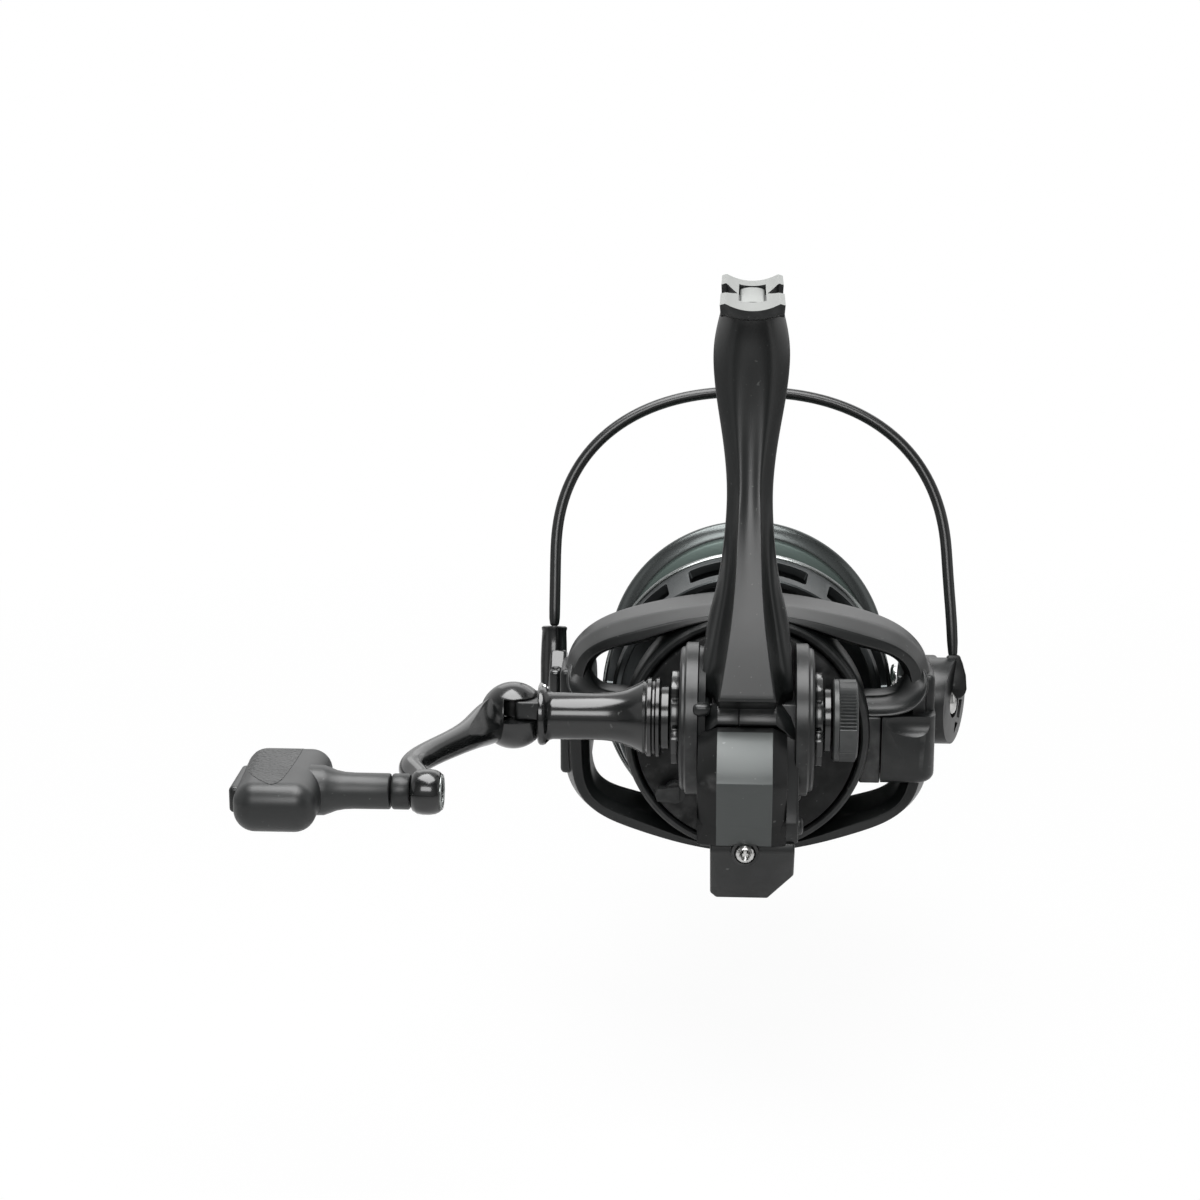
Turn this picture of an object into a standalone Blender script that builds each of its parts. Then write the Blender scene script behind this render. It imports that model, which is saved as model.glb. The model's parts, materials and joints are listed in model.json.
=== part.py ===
"""A front-drag spinning reel for long casts, as separate pieces round one main shaft.

The `reel` empty lies on the shaft line at the rotor's rear rim: +Y runs forward to the spool, +X is
the side of the screw cap, and +Z rises to the foot. World zero is the seat on top of the foot.
"""
import math

import bmesh
import bpy
from mathutils import Matrix, Vector

MM = 0.001
GAP = 0.3 * MM  # between pieces that touch
RUN = 0.35 * MM  # round what turns or slides
SINK = 0.5 * MM  # overlap of shapes that become one casting
FLAT = math.radians(0.5)  # faces nearer than this in slope are one flat
WELD = 0.001 * MM  # points nearer than this are one
LARGE_STEPS = 36  # facets round a large turned piece
MIDDLE_STEPS = 24
SMALL_STEPS = 16
TINY_STEPS = 12

# Foot and stem
FOOT_HEIGHT = 106.6 * MM  # saddle seat above the shaft line
FOOT_LENGTH = 54.0 * MM
FOOT_WIDTH = 14.6 * MM
FOOT_SAG = 1.7 * MM  # depth of the saddle's hollow
FOOT_TIP = 1.9 * MM  # thickness at both ends
FOOT_ROOT = 5.0 * MM  # thickness over the stem
FOOT_REAR_Y = -28.0 * MM
FOOT_REAR_RISE = 0.25  # shares of its length over which the foot thickens from either end
FOOT_FRONT_RISE = 0.3
FOOT_FACETS = (-1, -0.6, -0.2, 0.2, 0.6, 1)  # saddle's facets as shares of the half width
UNDERSIDE = 0.8  # flat share of the foot's underside
WINDOW_WIDTH = 5.8 * MM
WINDOW_REAR_Y = -13.5 * MM
WINDOW_FRONT_Y = 16.0 * MM
WINDOW_DEPTH = 4.0 * MM
NOTCH_WIDTH = 13.0 * MM
NOTCH_DEPTH = 0.9 * MM
NOTCH_REAR_Y = 6.0 * MM
NOTCH_LAND = 0.7 * MM  # metal left between notch and window
STEM_SEAT = 2.5 * MM  # how far the stem reaches down into the case
STEM_HEAD = 2.6 * MM  # its upper end under the saddle
# Stem stations: share of the way up, half width, rear edge, front edge, half width of the rear ridge
STEM = (
    (0.0, 11.0, -36.5, 0.5, 6.5),
    (0.046, 11.0, -38.0, -0.5, 6.4),
    (0.164, 10.2, -34.5, -5.5, 4.8),
    (0.237, 9.3, -32.2, -7.1, 3.9),
    (0.311, 7.0, -30.0, -8.4, 3.1),
    (0.379, 6.2, -28.0, -9.3, 2.7),
    (0.469, 5.3, -25.5, -9.3, 2.4),
    (0.559, 5.0, -23.2, -8.2, 2.5),
    (0.672, 6.0, -20.8, -5.6, 3.2),
    (0.785, 7.9, -19.0, -2.2, 4.2),
    (0.887, 8.8, -18.0, 1.6, 4.8),
    (0.955, 8.0, -17.4, 5.0, 4.6),
    (1.0, 7.1, -17.0, 9.0, 4.2),
)

# Gear case
CASE_HALF = 10.0 * MM  # left flank from the middle
CASE_RIGHT = 11.6 * MM  # right flank, which is the side cover's
CASE_TOP = 18.0 * MM
CASE_FRONT = 0.5 * MM
CASE_REAR = -43.5 * MM
CASE_STEP = 8.0 * MM  # how far the case's shoulder stands before its rear wall
CASE_SHOULDER = 13.0 * MM
CASE_WALL_TOP = 4.5 * MM
CASE_WALL_LOW = -8.0 * MM
CASE_HEEL = 4.5 * MM
SPLIT_X = -2.4 * MM  # joint between frame casting and side cover
SPLIT_TOP = 17.0 * MM
SPLIT_LOW = -14.0 * MM
SPLIT_FRONT = -3.0 * MM
KEEL_DEPTH = 31.0 * MM  # lowest point of the keel under the shaft line
KEEL_LEFT = -8.0 * MM
KEEL_RIGHT = 11.3 * MM
KEEL_LEFT_DEPTH = 29.5 * MM
KEEL_RIGHT_DEPTH = 23.5 * MM
KEEL_LEFT_EDGE = 1.5 * MM
KEEL_RIGHT_EDGE = 6.0 * MM
KEEL_REAR_Y = -28.0 * MM  # rear end of the lowest line
KEEL_RAKE = 0.7  # how far a shallower section moves that end back
KEEL_FRONT_Y = -9.0 * MM
COVER_CHAMFER = 3.4 * MM  # width of the rear cover's dark sides
LIP_RELIEF = 0.15 * MM  # the cover bears on the case only between its chamfers
# Rear cover from the side: distance behind the case's rear wall, and height
COVER_CROWN = ((-6.9, 13.3), (-1.0, 10.9), (6.2, 4.2), (5.6, -0.8), (2.0, -8.3), (-2.2, -13.5))
COVER_EDGE = ((-6.5, 12.9), (-3.0, 9.2), (2.8, 3.1), (2.8, -1.6), (1.2, -8.3), (-2.9, -13.3))
COVER_SEAT = ((-3.4, -13.6), (0.3, -8.1), (0.3, 4.65), (-6.8, 12.2))
BOSS_R = 17.75 * MM
BOSS_STEP_R = 16.2 * MM
BOSS_INNER_X = 11.3 * MM
BOSS_STEP_X = 14.4 * MM
BOSS_FACE_X = 15.5 * MM
FLANGE_CLEAR = 0.7 * MM  # between the front flange and the rotor's cup
FLANGE_REAR = -1.0 * MM
FLANGE_FRONT = 2.0 * MM
CLUTCH_R = 10.5 * MM
CLUTCH_FRONT = 9.0 * MM
CLUTCH_WALL = 1.9 * MM
# Rooms inside the case: low and high corners in millimetres
UPPER_ROOM = ((-4.5, -33.5, 5.0), (8.6, -6.2, 14.8))
SLIDER_ROOM = ((-8.5, -42.0, -8.6), (8.9, -5.0, 5.6))
GEAR_ROOM_X = (-8.8, -3.3)
WORM_ROOM_X = (-7.2, 8.7)
WORM_ROOM_FRONT = -5.2 * MM
WORM_ROOM_TOP = -8.0 * MM
WORM_ROOM_DEPTH = 7.6 * MM  # under the worm's axis
PINION_SEAT_Y = -6.0 * MM
BEARING_LIP = 1.0 * MM
COVER_SCREW_R = 2.25 * MM
COVER_SCREW_HEAD = 1.2 * MM
COVER_SCREW_LENGTH = 4.0 * MM
COVER_SCREW_Z = -16.3 * MM
COVER_SCREW_Y = -41.0 * MM
SIDE_SCREW_R = 2.1 * MM
SIDE_SCREW_SHANK_R = 1.1 * MM
SIDE_SCREW_HEAD = 1.2 * MM
SIDE_SCREW_LENGTH = 3.2 * MM
SIDE_HOLE_DEPTH = 6.0 * MM
SIDE_SCREWS = ((-34.0 * MM, -11.0 * MM), (-9.5 * MM, -11.0 * MM))  # Y and Z of the side cover's screws

# Shafts and gears
SHAFT_R = 2.3 * MM
SHAFT_REAR = -40.5 * MM
CRANK_Y = -19.0 * MM
CRANK_Z = 10.0 * MM
CRANK_SHAFT_R = 4.0 * MM
DRIVE_TEETH = 37
PINION_TEETH = 9
WORM_TEETH = 12
DRIVE_R = 13.5 * MM  # mean radius of the face teeth
DRIVE_FACE = 2.5 * MM  # their length along the radius
TOOTH_ADDENDUM = 0.45 * MM
TOOTH_DEDENDUM = 0.85 * MM
TOOTH_THICK = 0.74 * MM
TOOTH_ROOT = 1.45  # tooth's width at its root and tip, as shares of that at the pitch line
TOOTH_TIP = 0.8
TOOTH_INSET = 0.1 * MM
PINION_LENGTH = 5.6 * MM
SLEEVE_R = 4.2 * MM
SLEEVE_FRONT = 18.2 * MM
WORM_R = 2.6 * MM
WORM_REAR = -38.2 * MM
WORM_FRONT = -2.4 * MM
WORM_TURNS = 5
WORM_GROOVE = 0.6 * MM
WORM_TAIL = 1.6 * MM
WORM_GEAR_INSET = 0.8 * MM
GEAR_BACK = 2.2 * MM  # thickness of the drive gear behind its teeth
GEAR_DISH = 0.8 * MM
GEAR_HUB = 2.0 * MM
SLIDER_LENGTH = 5.8 * MM
SLIDER_LEFT = -3.3 * MM
SLIDER_RIGHT = 8.3 * MM
SLIDER_TOP = 4.8 * MM
SLIDER_EDGE = 0.6 * MM
SEAT_LENGTH = 3.4 * MM
SEAT_FLANGE = 1.5 * MM
JOURNAL_R = 1.6 * MM
GUIDE_R = 1.2 * MM
GUIDE_X = 6.2 * MM
GUIDE_Z = -3.0 * MM
BEARING_R = 8.0 * MM
BEARING_WIDTH = 4.0 * MM
RETAINER_R = 11.0 * MM
RETAINER_WIDTH = 1.8 * MM
RETAINER_SLOTS = 6
RETAINER_SLOT_R = 1.5 * MM
RETAINER_SLOT_REACH = 9.0 * MM
RETAINER_SLOT_DEPTH = 1.2 * MM

# Handle
COLLAR_R = 7.5 * MM
SHANK_FLANGE_R = 9.5 * MM
SHANK_R = 5.5 * MM
SHANK_END_X = 48.6 * MM
SHANK_START = 2.5 * MM  # before the boss's face
SHANK_NECK = 1.9 * MM
SHANK_GROOVE = 0.7 * MM
SHANK_END = 1.6 * MM
TRUMPET = 11.0 * MM
BALL_X = 54.6 * MM
BALL_R = 7.85 * MM
TANG_HALF = 2.2 * MM
TANG_RISE = 2.7 * MM  # the tang's middle over the crank's axis
TANG_R = 4.6 * MM
PIN_R = 1.6 * MM
CRANK_RADIUS = 58.0 * MM
ARM_SWEEP = 13.4 * MM  # how far the eye lies outside the ball
ARM_HOOK = 3.2 * MM  # how far the bar bows beyond the eye
BAR_R = 6.0 * MM
BAR_STEPS = (0.08, 0.2, 0.34, 0.5, 0.66, 0.8, 0.92, 1.0)
BAR_TAPERS = (1.0, 0.86, 0.7, 0.62, 0.58, 0.55, 0.52, 0.5)
BAR_TURN = 0.72  # where along it the bar starts to hook back
EYE_R = 4.8 * MM
EYE_HALF = 3.2 * MM
KNOB_BOLT_R = 2.0 * MM
BOLT_HEAD = 0.9 * MM
BOLT_HEAD_R = 3.4 * MM
BOLT_COVER = 6.0 * MM
KNOB_COLLAR_R = 3.85 * MM
KNOB_COLLAR_LENGTH = 3.8 * MM
KNOB_NECK = 14.2 * MM
KNOB_DEPTH = 19.0 * MM
KNOB_SPAN = 31.5 * MM
KNOB_THICK = 10.8 * MM
KNOB_EDGE_R = 4.2 * MM
KNOB_CAP_SPAN = 16.0 * MM
KNOB_CAP_THICK = 5.6 * MM
KNOB_CAP_DEPTH = 2.0 * MM
CAP_R = 9.65 * MM
CAP_LENGTH = 5.8 * MM
CAP_START = 4.3 * MM
CAP_STEP = 0.4 * MM

# Rotor and bail
RIM_R = 29.5 * MM
RIM_WALL = 1.7 * MM
ROTOR_WEB_Y = 11.5 * MM
ROTOR_WEB = 2.6 * MM
ROTOR_DEPTH = 20.4 * MM
LEG_SLOPE_Y = 9.0 * MM
POST_CLEAR = 2.0 * MM  # between the spool's flange and the rotor's arms
POST_THICK = 7.2 * MM
POST_R = 10.4 * MM  # round end of an arm about the bail's pivot
POST_TOP = 14.5 * MM  # half height of an arm at the legs
LEG_RISE = 2.0 * MM  # how far the legs' ridge stands over the cup
COVER_DEPTH_X = 13.2 * MM  # spring cover, inwards from the arm's outer face
COVER_REAR_Y = 2.6 * MM
COVER_LOW_Z = -12.8 * MM
COVER_TOP_Z = 4.7 * MM
COVER_EDGE_R = 1.6 * MM
NUT_R = 6.8 * MM
NUT_LENGTH = 3.4 * MM
BAIL_Y = 40.0 * MM
BAIL_Z = -2.0 * MM
BAIL_ANGLE = math.radians(73.0)  # closed bail, above straight ahead
BAIL_REACH = 78.8 * MM
BAIL_SHOULDER = 36.0 * MM
BAIL_POWER = 2.3  # roundness of the bail's bow
WIRE_R = 1.45 * MM
LEVER_THICK = 4.4 * MM
LEVER_R = 8.2 * MM
LEVER_NECK = 3.4 * MM  # half width where the lever meets its socket
SOCKET_R = 3.0 * MM
SOCKET_LOW = 9.5 * MM  # from the pivot, along the bail
SOCKET_TOP = 17.5 * MM
SOCKET_INSET = 0.9 * MM  # wire's middle inside the lever's outer face
ARM_R = 10.4 * MM
NOSE_R = 5.6 * MM  # bail arm round the roller's axle
HOLDER_R = 3.2 * MM
HOLDER_LOW = 5.2 * MM
HOLDER_TOP = 11.5 * MM
HOLDER_OUT = 3.0 * MM  # wire's right end outside its left one
HOLDER_LEAN = 1.6 * MM
PIVOT_DEPTH = 4.2 * MM  # thread of the pivot screws in the rotor's arms
PIVOT_HEAD = 1.6 * MM
PIVOT_R = 2.0 * MM
PIVOT_HEAD_R = 3.7 * MM
ROLLER_REACH = 23.0 * MM
ROLLER_R = 4.3 * MM
ROLLER_LENGTH = 5.8 * MM
AXLE_R = 1.4 * MM
AXLE_WALL = 0.8 * MM  # left of the bail arm outside the axle's end
AXLE_HEAD = 1.3 * MM
AXLE_HEAD_R = 3.2 * MM
ROLLER_GROOVE = 1.0 * MM
WIRE_STEPS = 22

# Spool and drag
LIP_R = 37.0 * MM
LIP_FRONT = 75.0 * MM
SPOOL_FLANGE_R = 36.6 * MM
SPOOL_FLANGE_Y = 37.5 * MM
SPOOL_FLANGE = 2.6 * MM
SPOOL_WALL = 4.0 * MM  # between the drum's hollow and the drag
FRONT_FLANGE = 2.0 * MM
LIP_STEP = 3.6 * MM
LIP_WIDTH = 7.0 * MM
DRUM_TAPER = 0.7 * MM
WINDOW_MARGIN = 2.8 * MM  # solid skirt before and behind its windows
CLIP_R = 2.6 * MM
CLIP_HEIGHT = 1.2 * MM
SKIRT_REAR = 25.2 * MM
SKIRT_REAR_R = 33.3 * MM
SKIRT_WALL = 1.6 * MM
DRUM_R = 25.2 * MM
DRUM_WALL = 1.7 * MM
HUB_R = 8.0 * MM
HUB_REAR = 42.0 * MM
BUSH_R = 4.1 * MM
DRAG_R = 17.6 * MM
DRAG_FLOOR = 66.5 * MM
WASHER_THICK = 1.1 * MM
WASHER_PLAY = 0.8 * MM
RING_THICK = 0.8 * MM
RING_WIDTH = 1.5 * MM
SKIRT_WINDOWS = 6
SKIRT_WINDOW_ARC = math.radians(50.0)
KNOB_FRONT = 86.0 * MM
DRAG_KNOB_R = 20.0 * MM
PRESSER_R = 9.0 * MM
KNOB_CHAMFER = 3.0 * MM
GRIPS = 9
GRIP_R = 4.2 * MM
DRAG_KNOB_CAP_R = 12.0 * MM
DRAG_KNOB_CAP = 1.8 * MM

# Anti-reverse switch
SWITCH_X = -17.0 * MM
SWITCH_Z = -13.5 * MM
SWITCH_R = 2.6 * MM
SWITCH_HEIGHT = 3.0 * MM
SWITCH_TAB = 4.8 * MM

# Gear geometry: the pinion lies above the crank's axis, so its teeth run at an angle
MESH_REACH = math.sqrt(DRIVE_R**2 - CRANK_Z**2)
MESH_Y = CRANK_Y + MESH_REACH
PITCH_X = PINION_TEETH * DRIVE_R**2 / (DRIVE_TEETH * MESH_REACH)  # pinion's pitch radius
HELIX = CRANK_Z / (MESH_REACH * PITCH_X)  # pinion's twist in radians per metre
WORM_DROP = PITCH_X * (1 + WORM_TEETH / PINION_TEETH)
# Sizes that follow from others
RIM_INNER_R = RIM_R - RIM_WALL
FLANGE_R = RIM_INNER_R - FLANGE_CLEAR
ROTOR_HALF_HEIGHT = RIM_R + LEG_RISE
POST_INNER_X = SPOOL_FLANGE_R + POST_CLEAR
POST_OUTER_X = POST_INNER_X + POST_THICK
BAIL_HALF_WIDTH = POST_OUTER_X + GAP + LEVER_THICK - SOCKET_INSET
MOUNT_Y = (FOOT_REAR_Y + WINDOW_REAR_Y) / 2

for old in list(bpy.data.objects):
    bpy.data.objects.remove(old, do_unlink=True)

PARTS = bpy.data.collections.new("spinning_reel")
CUTTERS = bpy.data.collections.new("cutters")
for group in (PARTS, CUTTERS):
    bpy.context.scene.collection.children.link(group)


def empty(name, parent, place):
    """A joint axis or datum, which carries pieces."""
    obj = bpy.data.objects.new(name, None)
    obj.parent = parent
    obj.location = place
    PARTS.objects.link(obj)
    return obj


REEL = empty("reel", None, (0, -MOUNT_Y, -FOOT_HEIGHT))
CRANK = empty("crank_axis", REEL, (0, CRANK_Y, CRANK_Z))
FOLD = empty("fold_axis", CRANK, (-BALL_X, 0, 0))
KNOB = empty("knob_axis", FOLD, (-ARM_SWEEP, -CRANK_RADIUS, 0))
BAIL = empty("bail_axis", REEL, (0, BAIL_Y, BAIL_Z))
ROLLER = empty("roller_axis", BAIL, (0, ROLLER_REACH, 0))
SWITCH = empty("switch_axis", REEL, (SWITCH_X, 0, SWITCH_Z))


def surface(name, colour, roughness, metallic):
    """A plain Principled finish."""
    mat = bpy.data.materials.new(name)
    mat.use_nodes = True
    shader = mat.node_tree.nodes["Principled BSDF"]
    shader.inputs["Base Color"].default_value = (*colour, 1)
    shader.inputs["Roughness"].default_value = roughness
    shader.inputs["Metallic"].default_value = metallic
    return mat


SATIN_BLACK = surface("satin_black_paint", (0.030, 0.033, 0.034), 0.42, 0.2)
GLOSS_BLACK = surface("gloss_black_paint", (0.012, 0.012, 0.013), 0.16, 0.1)
PLASTIC = surface("black_nylon", (0.026, 0.028, 0.030), 0.5, 0.0)
GUNMETAL = surface("gunmetal_paint", (0.085, 0.090, 0.097), 0.36, 0.6)
ANODISED = surface("dark_anodised", (0.055, 0.062, 0.062), 0.3, 0.9)
BARE = surface("bare_aluminium", (0.62, 0.64, 0.62), 0.38, 1.0)
STEEL = surface("bright_steel", (0.72, 0.72, 0.71), 0.2, 1.0)
BRASS = surface("gear_bronze", (0.62, 0.46, 0.22), 0.32, 1.0)
RUBBER = surface("soft_rubber", (0.035, 0.036, 0.037), 0.75, 0.0)
FELT = surface("drag_felt", (0.16, 0.14, 0.11), 0.95, 0.0)


def keep(name, mesh, parent, finish):
    """Puts a finished mesh into the scene as a piece."""
    mesh.shade_smooth()
    mesh.set_sharp_from_angle(angle=math.radians(32))
    mesh.materials.clear()
    mesh.materials.append(finish)
    obj = bpy.data.objects.new(name, mesh)
    obj.parent = parent
    PARTS.objects.link(obj)
    return obj


def welded(name, source, parent, finish, turn=Matrix()):
    """Takes the evaluated mesh of a working object, closes it, turns it and keeps it."""
    bpy.context.view_layer.update()
    mesh = bpy.data.meshes.new_from_object(source.evaluated_get(bpy.context.evaluated_depsgraph_get()))
    bpy.data.objects.remove(source)
    bm = bmesh.new()
    bm.from_mesh(mesh)
    bmesh.ops.transform(bm, matrix=turn, verts=bm.verts)
    bmesh.ops.remove_doubles(bm, verts=bm.verts, dist=WELD)
    bmesh.ops.recalc_face_normals(bm, faces=bm.faces)
    bm.to_mesh(mesh)
    bm.free()
    return keep(name, mesh, parent, finish)


# Turns a shape made along Z so that it lies along the named axis
ALONG = {
    "X": Matrix.Rotation(math.radians(90), 4, "Y"),
    "Y": Matrix.Rotation(math.radians(-90), 4, "X"),
    "Z": Matrix(),
}
# Lays a flat outline across the named axis: its own x, y become Y, Z or X, Z or X, Y
ACROSS = {
    "X": Matrix(((0, 0, 1, 0), (1, 0, 0, 0), (0, 1, 0, 0), (0, 0, 0, 1))),
    "Y": Matrix(((1, 0, 0, 0), (0, 0, -1, 0), (0, 1, 0, 0), (0, 0, 0, 1))),
    "Z": Matrix(),
}


def turned(name, parent, axis, profile, finish, steps=SMALL_STEPS, centre=(0, 0, 0)):
    """A body of revolution: the profile is (place along the axis, radius) points."""
    mesh = bpy.data.meshes.new(name)
    hollow = min(radius for _, radius in profile) > 0
    edges = [(i, i + 1) for i in range(len(profile) - 1)]
    if hollow:
        edges.append((len(profile) - 1, 0))
    mesh.from_pydata([(radius, 0, place) for place, radius in profile], edges, [])
    work = bpy.data.objects.new(name, mesh)
    PARTS.objects.link(work)
    screw = work.modifiers.new("turn", "SCREW")
    screw.steps = screw.render_steps = steps
    screw.use_merge_vertices = True
    screw.merge_threshold = WELD
    piece = welded(name, work, parent, finish, Matrix.Translation(centre) @ ALONG[axis])
    return piece if hollow else flat_ends(piece, steps)


def flat_ends(piece, steps):
    """Makes each flat end of a turned piece one face, without the point in its middle."""
    bm = bmesh.new()
    bm.from_mesh(piece.data)
    middles = [v for v in bm.verts if len(v.link_edges) == steps]
    flat = [v for v in middles if max(f.normal.angle(v.normal) for f in v.link_faces) < FLAT]
    bmesh.ops.dissolve_verts(bm, verts=flat)
    bm.to_mesh(piece.data)
    bm.free()
    return piece


def rod(name, parent, axis, start, end, radius, finish, steps=SMALL_STEPS, centre=(0, 0, 0)):
    """A plain round bar."""
    profile = [(start, 0), (start, radius), (end, radius), (end, 0)]
    return turned(name, parent, axis, profile, finish, steps, centre)


def washer(name, parent, axis, start, end, inner, outer, finish, steps=SMALL_STEPS, centre=(0, 0, 0)):
    """A plain ring."""
    profile = [(start, inner), (start, outer), (end, outer), (end, inner)]
    return turned(name, parent, axis, profile, finish, steps, centre)


def plate(name, parent, axis, outlines, low, high, finish):
    """A flat outline, with its holes, between two places along the axis."""
    curve = bpy.data.curves.new(name, "CURVE")
    curve.dimensions = "2D"
    curve.fill_mode = "BOTH"
    curve.extrude = (high - low) / 2
    for outline in outlines:
        spline = curve.splines.new("POLY")
        spline.points.add(len(outline) - 1)
        for point, (u, v) in zip(spline.points, outline):
            point.co = (u, v, 0, 1)
        spline.use_cyclic_u = True
    work = bpy.data.objects.new(name, curve)
    PARTS.objects.link(work)
    shift = Matrix.Translation(Vector([(low + high) / 2 if a == axis else 0 for a in "XYZ"]))
    return welded(name, work, parent, finish, shift @ ACROSS[axis])


def tube(name, parent, points, radius, finish, tapers=None, resolution=2):
    """A round wire through the points, with its thickness scaled by the tapers."""
    curve = bpy.data.curves.new(name, "CURVE")
    curve.dimensions = "3D"
    curve.bevel_depth = radius
    curve.bevel_resolution = resolution
    curve.use_fill_caps = True
    spline = curve.splines.new("POLY")
    spline.points.add(len(points) - 1)
    for index, place in enumerate(points):
        spline.points[index].co = (*place, 1)
        spline.points[index].radius = tapers[index] if tapers else 1
    work = bpy.data.objects.new(name, curve)
    PARTS.objects.link(work)
    return welded(name, work, parent, finish)


def loft(name, parent, rings, finish):
    """A closed skin through rings that have the same number of points, in order."""
    bm = bmesh.new()
    rows = [[bm.verts.new(point) for point in ring] for ring in rings]
    for near, far in zip(rows, rows[1:]):
        for i, start in enumerate(near):
            j = (i + 1) % len(near)
            bm.faces.new((start, near[j], far[j], far[i]))
    bm.faces.new(rows[0])
    bm.faces.new(rows[-1])
    bmesh.ops.recalc_face_normals(bm, faces=bm.faces)
    mesh = bpy.data.meshes.new(name)
    bm.to_mesh(mesh)
    bm.free()
    return keep(name, mesh, parent, finish)


def block(name, parent, low, high, finish, bevel=0.0, segments=1):
    """A box between two corners, with its edges broken."""
    bm = bmesh.new()
    size = [b - a for a, b in zip(low, high)]
    middle = [(a + b) / 2 for a, b in zip(low, high)]
    bmesh.ops.create_cube(bm, size=1, matrix=Matrix.Translation(middle) @ Matrix.Diagonal((*size, 1)))
    if bevel:
        bmesh.ops.bevel(
            bm, geom=bm.edges[:], offset=bevel, segments=segments, profile=0.5, affect="EDGES"
        )
    mesh = bpy.data.meshes.new(name)
    bm.to_mesh(mesh)
    bm.free()
    return keep(name, mesh, parent, finish)


def combine(piece, other, operation):
    step = piece.modifiers.new(operation.lower(), "BOOLEAN")
    step.operation = operation
    step.object = other
    step.solver = "EXACT"


def join(piece, *others):
    """Makes the other shapes one casting with the piece."""
    for other in others:
        combine(piece, other, "UNION")
    bpy.context.view_layer.update()
    mesh = bpy.data.meshes.new_from_object(piece.evaluated_get(bpy.context.evaluated_depsgraph_get()))
    finish = piece.data.materials[0]
    piece.modifiers.clear()
    piece.data = mesh
    bm = bmesh.new()
    bm.from_mesh(mesh)
    bmesh.ops.remove_doubles(bm, verts=bm.verts, dist=2 * WELD)
    bmesh.ops.dissolve_degenerate(bm, edges=bm.edges, dist=2 * WELD)
    bm.to_mesh(mesh)
    bm.free()
    mesh.materials.clear()
    mesh.materials.append(finish)
    for other in others:
        bpy.data.objects.remove(other)
    return piece


def cut(piece, *cutters):
    """Takes the cutters' space out of the piece."""
    for cutter in cutters:
        as_cutter(cutter)
        combine(piece, cutter, "DIFFERENCE")
    return piece


def as_cutter(shape):
    if shape.name not in CUTTERS.objects:
        PARTS.objects.unlink(shape)
        CUTTERS.objects.link(shape)
    shape.hide_render = True
    shape.display_type = "WIRE"


def arc(centre, radius, start, end, count):
    """Points along a circle, with the angles in degrees."""
    for step in range(count + 1):
        angle = math.radians(start + (end - start) * step / count)
        yield (centre[0] + radius * math.cos(angle), centre[1] + radius * math.sin(angle))


def foot_section(y, thick):
    """The foot's cross-section: a hollow saddle of five facets over a flat underside."""
    half = FOOT_WIDTH / 2
    hollow = (half**2 + FOOT_SAG**2) / (2 * FOOT_SAG)
    xs = [half * share for share in FOOT_FACETS]
    flat = hollow - math.sqrt(hollow**2 - xs[2] ** 2)
    top = [(x, y, FOOT_HEIGHT + hollow - math.sqrt(hollow**2 - x**2) - flat) for x in xs]
    low = FOOT_HEIGHT - thick
    side = low + FOOT_TIP / 2
    narrow = half * UNDERSIDE
    return top + [(half, y, side), (narrow, y, low), (-narrow, y, low), (-half, y, side)]


def stem_section(share, half, rear, front, ridge):
    """The stem's cross-section: a flat rear ridge, chamfered shoulders and a narrow front."""
    low, high = CASE_TOP - STEM_SEAT, FOOT_HEIGHT - STEM_HEAD
    height = low + share * (high - low)
    depth = front - rear
    side = [
        (ridge, rear),
        (half * 0.93, rear + depth * 0.2),
        (half, rear + depth * 0.38),
        (half * 0.88, rear + depth * 0.72),
        (half * 0.6, front),
    ]
    ring = side + [(-x, y) for x, y in reversed(side)]
    return [(x * MM, y * MM, height) for x, y in ring]


def case_outline():
    """The gear case from the side, behind the rotor and under the stem."""
    low = SPLIT_LOW - SINK
    return [
        (CASE_FRONT, CASE_TOP),
        (CASE_REAR + CASE_STEP, CASE_TOP),
        (CASE_REAR + CASE_STEP, CASE_SHOULDER),
        (CASE_REAR, CASE_WALL_TOP),
        (CASE_REAR, CASE_WALL_LOW),
        (CASE_REAR + CASE_HEEL, low),
        (CASE_FRONT, low),
    ]


def keel_section(x, depth):
    """The keel from the side: a raked rear face down to the lowest line."""
    heel = CASE_REAR + CASE_HEEL
    return [
        (x, CASE_FRONT, SPLIT_LOW + SINK),
        (x, heel - SINK, SPLIT_LOW + SINK),
        (x, heel - 2 * SINK, SPLIT_LOW - 3 * SINK),
        (x, KEEL_REAR_Y - (KEEL_DEPTH - depth) * KEEL_RAKE, -depth),
        (x, KEEL_FRONT_Y, SINK - depth),
        (x, 2 * FLANGE_REAR, -depth * 0.8),
        (x, CASE_FRONT, -depth * 0.75),
    ]


def boss_profile(side):
    """Half of the crank boss: a drum with one step, on the side +1 or -1."""
    inner = (BOSS_INNER_X if side > 0 else CASE_HALF - SINK) * side
    return [
        (inner, 0),
        (inner, BOSS_R),
        (BOSS_STEP_X * side, BOSS_R),
        (BOSS_STEP_X * side, BOSS_STEP_R),
        (BOSS_FACE_X * side, BOSS_STEP_R),
        (BOSS_FACE_X * side, 0),
    ]


def room(name, corners):
    """A box-shaped space between two corners in millimetres."""
    low, high = ([value * MM for value in corner] for corner in corners)
    return block(name, REEL, low, high, SATIN_BLACK)


def bore(name, parent, axis, start, end, radius, steps=MIDDLE_STEPS, centre=(0, 0, 0)):
    """A round space for a bearing, a shaft or a screw."""
    return rod(name, parent, axis, start, end, radius, SATIN_BLACK, steps, centre)


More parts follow.
